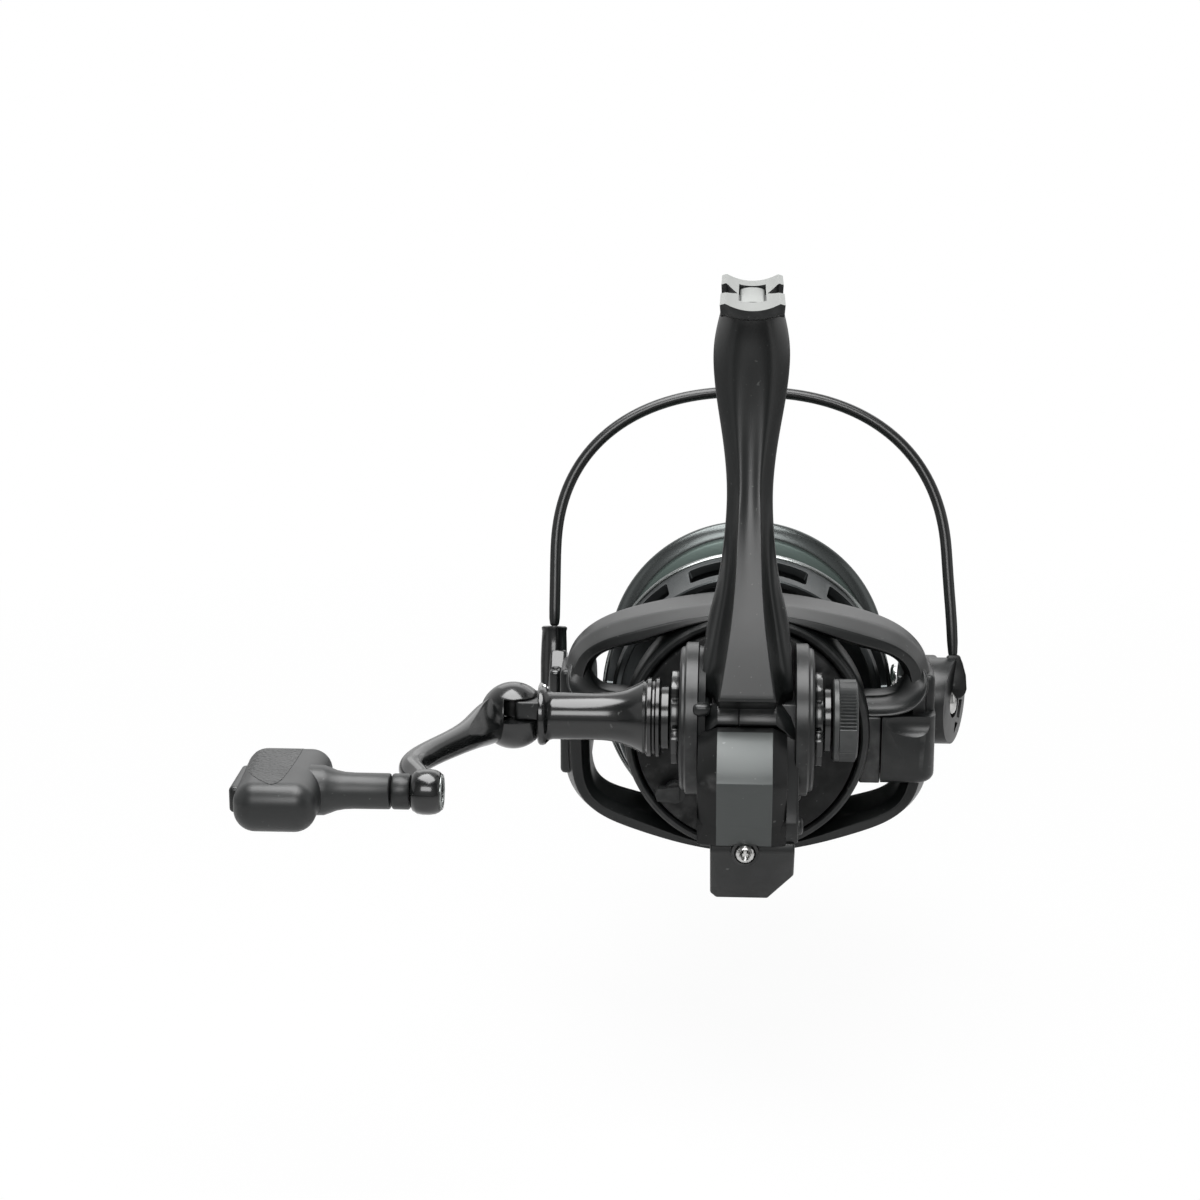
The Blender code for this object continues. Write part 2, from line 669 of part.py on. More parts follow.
def case_hollow():
    """The rooms and bores inside the case for the gear, the slider, the worm and the bearings."""
    gear_r = DRIVE_R + DRIVE_FACE / 2 + 2 * RUN
    gear_x = [x * MM for x in GEAR_ROOM_X]
    left, right = (x * MM for x in WORM_ROOM_X)
    worm_low = (left, WORM_REAR - RUN, -WORM_DROP - WORM_ROOM_DEPTH)
    worm_high = (right, WORM_ROOM_FRONT, WORM_ROOM_TOP)
    seat = BEARING_R + GAP
    face = BOSS_FACE_X
    depth = BEARING_WIDTH + GAP
    lip = face - BEARING_LIP
    worm_at = (0, 0, -WORM_DROP)
    guide_at = (GUIDE_X, 0, GUIDE_Z)
    return [
        bore("gear_room", CRANK, "X", *gear_x, gear_r, MIDDLE_STEPS + 4),
        room("upper_room", UPPER_ROOM),
        room("slider_room", SLIDER_ROOM),
        block("worm_room", REEL, worm_low, worm_high, SATIN_BLACK),
        bore("left_seat", CRANK, "X", -face - SINK, -face + depth, seat),
        bore("right_seat", CRANK, "X", face - depth, face + SINK, seat),
        bore("crank_bore", CRANK, "X", -lip, lip, CRANK_SHAFT_R + 2 * RUN, SMALL_STEPS + 2),
        bore("pinion_seat", REEL, "Y", PINION_SEAT_Y, FLANGE_FRONT + GAP, seat),
        bore("clutch_seat", REEL, "Y", FLANGE_FRONT, CLUTCH_FRONT + SINK, CLUTCH_R + GAP),
        bore("worm_bore", REEL, "Y", WORM_REAR - 4 * SINK, -4 * SINK, JOURNAL_R + RUN, TINY_STEPS, worm_at),
        bore("guide_bore", REEL, "Y", CASE_REAR + GAP, -5 * SINK, GUIDE_R + GAP, TINY_STEPS, guide_at),
    ]


def make_foot():
    """The foot: thick over the stem, thin at both ends."""
    rear, front = FOOT_REAR_Y, FOOT_REAR_Y + FOOT_LENGTH
    stations = (
        (rear, FOOT_TIP),
        (rear + FOOT_LENGTH * FOOT_REAR_RISE, FOOT_ROOT),
        (front - FOOT_LENGTH * FOOT_FRONT_RISE, FOOT_ROOT),
        (front, FOOT_TIP),
    )
    return loft("foot", REEL, [foot_section(y, thick) for y, thick in stations], SATIN_BLACK)


def make_keel():
    """The keel under the case, with its lower right edge cut away."""
    stations = (
        (KEEL_LEFT, KEEL_LEFT_DEPTH),
        (KEEL_LEFT + KEEL_LEFT_EDGE, KEEL_DEPTH),
        (KEEL_RIGHT - KEEL_RIGHT_EDGE, KEEL_DEPTH),
        (KEEL_RIGHT, KEEL_RIGHT_DEPTH),
    )
    return loft("keel", REEL, [keel_section(x, depth) for x, depth in stations], SATIN_BLACK)


def make_flange():
    """The round plate that closes the rotor's cup, with the clutch's housing in front."""
    wall = CLUTCH_R + CLUTCH_WALL
    profile = [
        (FLANGE_REAR, 0),
        (FLANGE_REAR, FLANGE_R),
        (FLANGE_FRONT, FLANGE_R),
        (FLANGE_FRONT, wall),
        (CLUTCH_FRONT, wall),
        (CLUTCH_FRONT, 0),
    ]
    return turned("flange", REEL, "Y", profile, SATIN_BLACK, LARGE_STEPS + 4)


def foot_cuts():
    """The window through the foot's middle and the tapering notch on either side."""
    low = (-WINDOW_WIDTH / 2, WINDOW_REAR_Y, FOOT_HEIGHT - WINDOW_DEPTH)
    high = (WINDOW_WIDTH / 2, WINDOW_FRONT_Y, FOOT_HEIGHT + FOOT_SAG + SINK)
    cutters = [block("foot_window", REEL, low, high, SATIN_BLACK)]
    wide = FOOT_WIDTH / 2 + SINK
    narrow = WINDOW_WIDTH / 2 + NOTCH_LAND
    floor, above = FOOT_HEIGHT - NOTCH_DEPTH, FOOT_HEIGHT + 3 * FOOT_SAG
    for side in (-1, 1):
        outline = [
            (side * wide, NOTCH_REAR_Y),
            (side * wide, NOTCH_REAR_Y + NOTCH_WIDTH),
            (side * narrow, NOTCH_REAR_Y + NOTCH_WIDTH / 4),
            (side * narrow, NOTCH_REAR_Y),
        ]
        cutters.append(plate(f"foot_notch_{side}", REEL, "Z", [outline], floor, above, SATIN_BLACK))
    return cutters


def make_body(hollow):
    """Foot, stem, left half of the case, keel and front flange as one casting."""
    stem = loft("stem", REEL, [stem_section(*station) for station in STEM], SATIN_BLACK)
    body = plate("body_frame", REEL, "X", [case_outline()], -CASE_HALF, CASE_HALF, SATIN_BLACK)
    boss = turned("left_boss", CRANK, "X", boss_profile(-1), SATIN_BLACK, LARGE_STEPS)
    place = (0, 0, COVER_SCREW_Z)
    head_y = COVER_SCREW_Y + 1.5 * COVER_SCREW_LENGTH
    boss_r = COVER_SCREW_R + GAP / 3
    screw_boss = bore("screw_boss", REEL, "Y", COVER_SCREW_Y, head_y, boss_r, SMALL_STEPS, place)
    join(body, make_keel(), boss, make_flange(), stem, make_foot(), screw_boss)
    cover_low = (SPLIT_X, 1.2 * CASE_REAR, SPLIT_LOW)
    cover_high = (BOSS_FACE_X + BOSS_STEP_X / 4, SPLIT_FRONT, SPLIT_TOP)
    side_room = block("side_room", REEL, cover_low, cover_high, SATIN_BLACK)
    hole_end = COVER_SCREW_Y + COVER_SCREW_LENGTH + 2 * SINK
    hole_r = COVER_SCREW_R / 2 + GAP
    hole = bore("cover_screw_hole", REEL, "Y", COVER_SCREW_Y - SINK, hole_end, hole_r, TINY_STEPS, place)
    cut(body, side_room, *hollow, hole, *foot_cuts())


def make_side_cover(hollow):
    """The right half of the case with its crank boss."""
    cover = plate("side_cover", REEL, "X", [case_outline()], SPLIT_X + GAP, CASE_RIGHT, SATIN_BLACK)
    low = (SPLIT_X, CASE_REAR - 2 * SINK, SPLIT_LOW + GAP)
    high = (CASE_RIGHT + SINK, SPLIT_FRONT - GAP, SPLIT_TOP - GAP)
    limit = block("cover_limit", REEL, low, high, SATIN_BLACK)
    as_cutter(limit)
    combine(cover, limit, "INTERSECT")
    join(cover, turned("right_boss", CRANK, "X", boss_profile(1), SATIN_BLACK, LARGE_STEPS))
    holes = []
    seat = CASE_RIGHT + GAP
    tip = CASE_RIGHT - SIDE_SCREW_LENGTH
    crown = seat + SIDE_SCREW_HEAD
    hole_r = SIDE_SCREW_SHANK_R + GAP
    screw = [
        (tip, 0),
        (tip, SIDE_SCREW_SHANK_R),
        (seat, SIDE_SCREW_SHANK_R),
        (seat, SIDE_SCREW_R),
        (crown - GAP, SIDE_SCREW_R * 0.9),
        (crown, 0),
    ]
    for number, (y, z) in enumerate(SIDE_SCREWS, 1):
        ends = (CASE_RIGHT - SIDE_HOLE_DEPTH, CASE_RIGHT + SINK)
        holes.append(bore(f"side_hole_{number}", REEL, "X", *ends, hole_r, TINY_STEPS, (0, y, z)))
        turned(f"side_cover_screw_{number}", REEL, "X", screw, STEEL, SMALL_STEPS, (0, y, z))
    cut(cover, *hollow, *holes)


def cover_outline(points, relief=0.0):
    """Places behind the case as (y, z)."""
    return [(CASE_REAR - back * MM - relief, z * MM) for back, z in points]


def make_rear_cover():
    """The guard over the back of the case: a crowned panel with wide chamfers at both sides."""
    edge = cover_outline(COVER_EDGE) + cover_outline(COVER_SEAT, LIP_RELIEF)
    crown = cover_outline(COVER_CROWN) + cover_outline(COVER_SEAT)
    panel = CASE_HALF - COVER_CHAMFER
    rings = []
    for x, outline in ((-CASE_HALF, edge), (-panel, crown), (panel, crown), (CASE_HALF, edge)):
        rings.append([(x, y, z) for y, z in outline])
    loft("rear_cover", REEL, rings, GUNMETAL)
    seat = COVER_SCREW_Y - GAP
    shank = COVER_SCREW_R / 2
    crown_y = seat - COVER_SCREW_HEAD
    tip = COVER_SCREW_Y + COVER_SCREW_LENGTH
    screw = [
        (crown_y, 0),
        (crown_y + GAP, COVER_SCREW_R * 0.8),
        (seat, COVER_SCREW_R),
        (seat, shank),
        (tip, shank),
        (tip, 0),
    ]
    turned("rear_cover_screw", REEL, "Y", screw, STEEL, SMALL_STEPS, (0, 0, COVER_SCREW_Z))


def make_foot_insert():
    """The half-barrel pad that fills the foot's window."""
    half = WINDOW_WIDTH / 2 - GAP
    base = FOOT_HEIGHT - WINDOW_DEPTH + GAP
    crown = arc((0, FOOT_HEIGHT - half * 0.75), half, 0, 180, 8)
    outline = [(half, base), *crown, (-half, base)]
    plate("foot_insert", REEL, "Y", [outline], WINDOW_REAR_Y + GAP, WINDOW_FRONT_Y - GAP, BARE)


def make_bearings():
    """Ball bearings as closed rings, their retainers, and the one-way clutch."""
    shaft = CRANK_SHAFT_R + GAP
    outer = BOSS_FACE_X + GAP + RETAINER_WIDTH
    for side, word in ((-1, "left"), (1, "right")):
        faces = sorted((side * (BOSS_FACE_X - BEARING_WIDTH), side * (BOSS_FACE_X - GAP)))
        washer(f"crank_bearing_{word}", CRANK, "X", *faces, shaft, BEARING_R, STEEL)
        faces = sorted((side * (BOSS_FACE_X + GAP), side * outer))
        radii = (shaft + RUN, RETAINER_R)
        ring = washer(f"bearing_retainer_{word}", CRANK, "X", *faces, *radii, PLASTIC, MIDDLE_STEPS)
        ends = sorted((side * (outer - RETAINER_SLOT_DEPTH), side * (outer + RETAINER_WIDTH)))
        slots = []
        for index in range(RETAINER_SLOTS):
            angle = (index + 0.5) * 2 * math.pi / RETAINER_SLOTS
            spot = (0, RETAINER_SLOT_REACH * math.cos(angle), RETAINER_SLOT_REACH * math.sin(angle))
            name = f"retainer_slot_{word}_{index}"
            slots.append(rod(name, CRANK, "X", *ends, RETAINER_SLOT_R, PLASTIC, 8, spot))
        cut(ring, *slots)
    sleeve = SLEEVE_R + GAP
    rear = FLANGE_FRONT - BEARING_WIDTH
    washer("pinion_bearing", REEL, "Y", rear, FLANGE_FRONT - GAP, sleeve, BEARING_R, STEEL)
    washer("one_way_clutch", REEL, "Y", FLANGE_FRONT + GAP, CLUTCH_FRONT - GAP, sleeve, CLUTCH_R, STEEL)


def helical(name, parent, teeth, pitch, twist, phase, start, end, finish, rings=4):
    """A helical gear about Y. The phase is a tooth's angle at the mesh plane."""
    step = 2 * math.pi / teeth
    half = TOOTH_THICK / 2 * math.sqrt(1 + (HELIX * PITCH_X) ** 2) / pitch
    root, tip = TOOTH_ROOT * half, TOOTH_TIP * half
    corners = (
        (-root, -TOOTH_DEDENDUM),
        (-tip, TOOTH_ADDENDUM),
        (tip, TOOTH_ADDENDUM),
        (root, -TOOTH_DEDENDUM),
    )
    sections = []
    for ring in range(rings):
        y = start + (end - start) * ring / (rings - 1)
        points = []
        for tooth in range(teeth):
            for turn, rise in corners:
                angle = phase + twist * (y - MESH_Y) + tooth * step + turn
                radius = pitch + rise
                points.append((radius * math.cos(angle), y, radius * math.sin(angle)))
        sections.append(points)
    return loft(name, parent, sections, finish)


def make_drive_gear():
    """The crank's shaft with the face gear, whose teeth point across to the pinion."""
    face = PITCH_X - TOOTH_ADDENDUM
    root = PITCH_X + TOOTH_DEDENDUM
    outer = DRIVE_R + DRIVE_FACE / 2
    inner = outer - DRIVE_FACE
    back = root + GEAR_BACK
    dish = root + GEAR_DISH
    hub = CRANK_SHAFT_R + GEAR_HUB
    left_end = -BOSS_FACE_X - GEAR_BACK
    right_end = BOSS_FACE_X + CAP_START - RUN
    profile = [
        (left_end, 0),
        (left_end, CRANK_SHAFT_R),
        (-back, CRANK_SHAFT_R),
        (-back, outer),
        (-root, outer),
        (-root, inner),
        (-dish, inner - GEAR_DISH),
        (-dish, hub),
        (GEAR_HUB - root, hub),
        (GEAR_HUB - root, CRANK_SHAFT_R),
        (right_end, CRANK_SHAFT_R),
        (right_end, 0),
    ]
    gear = turned("drive_gear", CRANK, "X", profile, BRASS, MIDDLE_STEPS)
    bm = bmesh.new()
    first = math.atan2(-CRANK_Z, MESH_REACH)
    height = root - face + SINK
    size = Matrix.Diagonal((height, DRIVE_FACE - TOOTH_INSET, TOOTH_THICK, 1))
    place = Matrix.Translation((-face - height / 2, DRIVE_R - TOOTH_INSET, 0))
    for tooth in range(DRIVE_TEETH):
        angle = first + (tooth + 0.5) * 2 * math.pi / DRIVE_TEETH
        bmesh.ops.create_cube(bm, size=1, matrix=Matrix.Rotation(angle, 4, "X") @ place @ size)
    mesh = bpy.data.meshes.new("drive_teeth")
    bm.to_mesh(mesh)
    bm.free()
    join(gear, keep("drive_teeth", mesh, CRANK, BRASS))


def make_pinion():
    """The helical pinion with the sleeve that carries the rotor."""
    low, high = MESH_Y - PINION_LENGTH / 2, MESH_Y + PINION_LENGTH / 2
    pinion = helical("pinion_gear", REEL, PINION_TEETH, PITCH_X, HELIX, math.pi, low, high, STEEL)
    join(pinion, rod("sleeve", REEL, "Y", high - SINK, SLEEVE_FRONT, SLEEVE_R, STEEL, 20))
    cut(pinion, rod("pinion_bore", REEL, "Y", low - SINK, SLEEVE_FRONT + SINK, SHAFT_R + RUN, STEEL))


def make_worm():
    """The worm under the main shaft, driven by the pinion, and the rod that guides the slider."""
    share = PINION_TEETH / WORM_TEETH
    gap_turn = (math.pi / 2) % (2 * math.pi / PINION_TEETH) * share
    phase = math.pi / 2 + gap_turn + math.pi / WORM_TEETH
    axis = empty("worm_axis", REEL, (0, 0, -WORM_DROP))
    low, high = MESH_Y - PINION_LENGTH / 2, MESH_Y + PINION_LENGTH / 2
    ends = (low + WORM_GEAR_INSET, high - WORM_GEAR_INSET)
    worm = helical("worm_shaft", axis, WORM_TEETH, PITCH_X / share, -HELIX * share, phase, *ends, STEEL, 3)
    tail = WORM_REAR - WORM_TAIL
    neck = low - 2 * SINK
    length = (neck - WORM_REAR) / WORM_TURNS
    deep = WORM_R - WORM_GROOVE
    profile = [(tail, 0), (tail, JOURNAL_R), (WORM_REAR, JOURNAL_R)]
    for index in range(WORM_TURNS):
        start = WORM_REAR + index * length
        profile += [(start, WORM_R), (start + length * 0.6, WORM_R)]
        profile += [(start + length * 0.65, deep), (start + length * 0.95, deep)]
    profile += [(neck, WORM_R), (high, WORM_R), (high, JOURNAL_R), (WORM_FRONT, JOURNAL_R), (WORM_FRONT, 0)]
    join(worm, turned("worm", axis, "Y", profile, STEEL, TINY_STEPS))
    guide = (CASE_REAR + 2 * GAP, SPLIT_FRONT)
    rod("guide_rod", REEL, "Y", *guide, GUIDE_R, STEEL, TINY_STEPS, (GUIDE_X, 0, GUIDE_Z))


def make_gears():
    """Face gear on the crank, helical pinion on the rotor's sleeve, and the worm that it drives."""
    make_drive_gear()
    make_pinion()
    make_worm()


def make_slide():
    """Main shaft with the crosswind block behind and the spool's seat in front."""
    rod("main_shaft", REEL, "Y", SHAFT_REAR, KNOB_FRONT - GAP, SHAFT_R, STEEL)
    rear = SHAFT_REAR + SINK
    front = rear + SLIDER_LENGTH
    low = (SLIDER_LEFT, rear, -WORM_DROP + WORM_R + RUN)
    high = (SLIDER_RIGHT, front, SLIDER_TOP)
    slider = block("crosswind_block", REEL, low, high, BRASS, SLIDER_EDGE)
    ends = (rear - SINK, front + SINK)
    guide_at = (GUIDE_X, 0, GUIDE_Z)
    shaft_hole = rod("slider_shaft_hole", REEL, "Y", *ends, SHAFT_R + GAP, BRASS)
    guide_hole = rod("slider_guide_hole", REEL, "Y", *ends, GUIDE_R + RUN, BRASS, TINY_STEPS, guide_at)
    cut(slider, shaft_hole, guide_hole)
    bore_r = SHAFT_R + GAP
    seat = HUB_REAR - GAP
    flange = HUB_R + SEAT_FLANGE
    profile = [
        (seat - SEAT_LENGTH, bore_r),
        (seat - SEAT_LENGTH, HUB_R),
        (seat - SEAT_LENGTH * 0.65, flange),
        (seat, flange),
        (seat, bore_r),
    ]
    turned("spool_seat", REEL, "Y", profile, PLASTIC)


def make_spool():
    """Spool with its drum and hub, front lip and bush."""
    step = LIP_FRONT - LIP_STEP
    ledge = LIP_R - LIP_WIDTH
    drum_in = DRUM_R - DRUM_WALL
    bore = BUSH_R + GAP
    floor = DRAG_FLOOR - SPOOL_WALL
    front = LIP_FRONT - 2 * SINK
    profile = [
        (HUB_REAR, bore),
        (HUB_REAR, HUB_R),
        (floor, HUB_R),
        (floor, drum_in),
        (SPOOL_FLANGE_Y - SPOOL_FLANGE / 2, drum_in),
        (SPOOL_FLANGE_Y - SPOOL_FLANGE / 2, DRUM_R),
        (step - FRONT_FLANGE, DRUM_R - DRUM_TAPER),
        (step - FRONT_FLANGE, LIP_R - 1.2 * LIP_STEP),
        (step, LIP_R - LIP_STEP),
        (step, ledge),
        (front, ledge),
        (front, DRAG_R),
        (DRAG_FLOOR, DRAG_R),
        (DRAG_FLOOR, bore),
    ]
    turned("spool_body", REEL, "Y", profile, ANODISED, LARGE_STEPS)
    ring = [
        (step + GAP, ledge + GAP),
        (step + GAP, LIP_R - 8 * GAP),
        (step + 4 * GAP, LIP_R),
        (LIP_FRONT - 2 * GAP, LIP_R - GAP),
        (LIP_FRONT, LIP_R - 7 * GAP),
        (LIP_FRONT - SINK, ledge + GAP),
    ]
    turned("spool_lip", REEL, "Y", ring, ANODISED, LARGE_STEPS)
    bush = (HUB_REAR + GAP, DRAG_FLOOR - GAP)
    washer("spool_bush", REEL, "Y", *bush, SHAFT_R + RUN, BUSH_R, PLASTIC, SMALL_STEPS)


def make_skirt():
    """The spool's rear flange with the vented skirt behind it, and the line clip on that skirt."""
    rear_face = SPOOL_FLANGE_Y - SPOOL_FLANGE / 2
    front_face = SPOOL_FLANGE_Y + SPOOL_FLANGE / 2
    inner = DRUM_R + GAP
    rim = SPOOL_FLANGE_R - 2 * GAP
    top = rear_face - GAP
    profile = [
        (rear_face, inner),
        (rear_face, SPOOL_FLANGE_R - SKIRT_WALL - 2 * GAP),
        (SKIRT_REAR, SKIRT_REAR_R - SKIRT_WALL),
        (SKIRT_REAR, SKIRT_REAR_R),
        (top, rim),
        (top + 2 * GAP, SPOOL_FLANGE_R),
        (front_face - 2 * GAP, SPOOL_FLANGE_R),
        (front_face, rim),
        (front_face, inner),
    ]
    skirt = turned("spool_skirt", REEL, "Y", profile, ANODISED, LARGE_STEPS)
    cutters = []
    low, high = SKIRT_REAR + WINDOW_MARGIN, SPOOL_FLANGE_Y - WINDOW_MARGIN
    half_arc = math.degrees(SKIRT_WINDOW_ARC) / 2
    bottom = SKIRT_REAR_R - 2.5 * SKIRT_WALL
    above = SPOOL_FLANGE_R + 2 * SKIRT_WALL
    for index in range(SKIRT_WINDOWS):
        middle = 90 + index * 360 / SKIRT_WINDOWS
        ends = (middle - half_arc, middle + half_arc)
        outline = [*arc((0, 0), above, *ends, 5), *arc((0, 0), bottom, *reversed(ends), 5)]
        cutters.append(plate(f"skirt_window_{index}", REEL, "Y", [outline], low, high, ANODISED))
    cut(skirt, *cutters)
    clip_y = (low + high) / 2
    slope = (rim - SKIRT_REAR_R) / (top - SKIRT_REAR)
    clip_x = SKIRT_REAR_R + slope * (clip_y - SKIRT_REAR) + 2 * RUN
    outer = clip_x + CLIP_HEIGHT
    clip = [(-outer, 0), (GAP - outer, CLIP_R * 0.85), (-clip_x, CLIP_R), (-clip_x, 0)]
    turned("line_clip", REEL, "X", clip, STEEL, SMALL_STEPS, (0, clip_y, 0))


def make_drag():
    """Drag washers in the spool's front, their spring ring, and the drag knob that presses them."""
    place = DRAG_FLOOR + GAP
    outer = DRAG_R - WASHER_PLAY
    washers = (
        ("drag_washer_rear", FELT),
        ("drag_washer_keyed", STEEL),
        ("drag_washer_front", FELT),
        ("drag_plate", STEEL),
    )
    for name, finish in washers:
        washer(name, REEL, "Y", place, place + WASHER_THICK, SHAFT_R + RUN, outer, finish)
        place += WASHER_THICK + GAP
    ring = (DRAG_R - RING_WIDTH, DRAG_R - GAP)
    washer("drag_retaining_ring", REEL, "Y", place, place + RING_THICK, *ring, STEEL)
    make_drag_knob(place)


def make_drag_knob(rear):
    """The knob in front of the spool: a presser into the drag room, nine finger grips and a cap."""
    shaft = SHAFT_R + RUN
    face = LIP_FRONT + GAP
    skirt = PRESSER_R
    shoulder = KNOB_FRONT - KNOB_CHAMFER
    profile = [
        (rear, shaft),
        (rear, skirt),
        (face, skirt),
        (face, DRAG_KNOB_R),
        (shoulder, DRAG_KNOB_R),
        (KNOB_FRONT - KNOB_CHAMFER / 3, DRAG_KNOB_R - KNOB_CHAMFER * 2 / 3),
        (KNOB_FRONT, DRAG_KNOB_R - 2 * KNOB_CHAMFER),
        (KNOB_FRONT, shaft),
    ]
    knob = turned("drag_knob", REEL, "Y", profile, SATIN_BLACK, 32)
    grips = []
    reach = DRAG_KNOB_R + GRIP_R / 2
    ends = (face - SINK, KNOB_FRONT + SINK)
    for index in range(GRIPS):
        angle = (index + 0.3) * 2 * math.pi / GRIPS
        spot = (reach * math.cos(angle), 0, reach * math.sin(angle))
        grips.append(rod(f"grip_{index}", REEL, "Y", *ends, GRIP_R, SATIN_BLACK, 10, spot))
    cut(knob, *grips)
    base = KNOB_FRONT + GAP
    rim = DRAG_KNOB_CAP_R
    top = KNOB_FRONT + DRAG_KNOB_CAP
    cap = [(base, 0), (base, rim), (base + DRAG_KNOB_CAP / 2, rim - 2 * SINK), (top, 0)]
    turned("drag_knob_cap", REEL, "Y", cap, GUNMETAL, 20)


def make_shank():
    """The handle's shank: a grooved collar, a trumpet, a plain tube and the flat tang."""
    start = BOSS_FACE_X + SHANK_START
    flange = start + SHANK_NECK
    lip = SHANK_FLANGE_R
    groove = lip - SHANK_GROOVE
    trumpet = []
    for t in (0, 0.15, 0.3, 0.5, 0.75, 1):
        radius = SHANK_R + (lip - 2 * SINK - SHANK_R) * (1 - t) ** 2
        trumpet.append((flange + 6 * SHANK_GROOVE + t * TRUMPET, radius))
    end = SHANK_END_X
    profile = [
        (start, 0),
        (start, COLLAR_R),
        (flange, COLLAR_R),
        (flange, lip),
        (flange + 1.5 * SHANK_GROOVE, lip),
        (flange + 2.1 * SHANK_GROOVE, groove),
        (flange + 2.7 * SHANK_GROOVE, lip),
        (flange + 4.2 * SHANK_GROOVE, lip),
        (flange + 4.8 * SHANK_GROOVE, groove),
        *trumpet,
        (end - SHANK_END * 1.4, SHANK_R),
        (end - SHANK_END, SHANK_R + 2 * SINK),
        (end, SHANK_R + 2 * SINK),
        (end, 0),
    ]
    shank = turned("handle_shank", CRANK, "X", [(-x, r) for x, r in profile], GLOSS_BLACK, 20)
    outline = [(SINK - end, TANG_R), *arc((-BALL_X, 0), TANG_R, 90, 270, 10), (SINK - end, -TANG_R)]
    low, high = TANG_RISE - TANG_HALF, TANG_RISE + TANG_HALF
    join(shank, plate("tang", CRANK, "Z", [outline], low, high, GLOSS_BLACK))
    hole = (low - SINK, high + SINK)
    cut(shank, rod("tang_hole", FOLD, "Z", *hole, PIN_R + GAP, GLOSS_BLACK, TINY_STEPS))
    pin_end = math.sqrt(BALL_R**2 - PIN_R**2) - GAP
    rod("fold_pin", FOLD, "Z", -pin_end, pin_end, PIN_R, STEEL)


def make_handle_arm():
    """The folding arm: a slotted ball, a bar that bows outwards and the eye for the knob's bolt."""
    bm = bmesh.new()
    bmesh.ops.create_uvsphere(bm, u_segments=20, v_segments=12, radius=BALL_R)
    mesh = bpy.data.meshes.new("ball")
    bm.to_mesh(mesh)
    bm.free()
    arm = keep("handle_arm", mesh, FOLD, GLOSS_BLACK)
    path = []
    for t in BAR_STEPS:
        out = (ARM_SWEEP + ARM_HOOK) * math.sin(math.pi / 2 * min(1, t / BAR_TURN)) ** 0.9
        if t > BAR_TURN:
            out -= ARM_HOOK * min(1, (t - BAR_TURN) / (0.94 - BAR_TURN)) ** 1.5
        path.append((-out, -CRANK_RADIUS * t, 0))
    bar = tube("bar", FOLD, path, BAR_R, GLOSS_BLACK, BAR_TAPERS, 3)
    eye = rod("eye", KNOB, "X", -EYE_HALF, EYE_HALF, EYE_R, GLOSS_BLACK, 20)
    join(arm, bar, eye)
    far = BALL_R + 2 * PIN_R
    wall = TANG_R + 2 * RUN
    slot = [(-PIN_R, -far), (far, -far), (far, far), (-wall, far), *arc((0, 0), wall, 180, 250, 5)]
    half = TANG_HALF + RUN
    fork = plate("fork_room", FOLD, "Z", [slot], TANG_RISE - half, TANG_RISE + half, GLOSS_BLACK)
    pin_hole = rod("pin_hole", FOLD, "Z", -BALL_R, BALL_R, PIN_R + GAP, GLOSS_BLACK)
    deep = EYE_HALF + SINK
    bolt_hole = rod("bolt_hole", KNOB, "X", -deep, deep, KNOB_BOLT_R + GAP, GLOSS_BLACK)
    near = BALL_X - SHANK_END_X - RUN
    swept = [*arc((0, 0), near, -48, 130, 12), *arc((0, 0), far, 130, -48, 8)]
    shank_room = plate("shank_room", FOLD, "Z", [swept], -BALL_R, BALL_R, GLOSS_BLACK)
    cut(arm, fork, pin_hole, bolt_hole, shank_room)


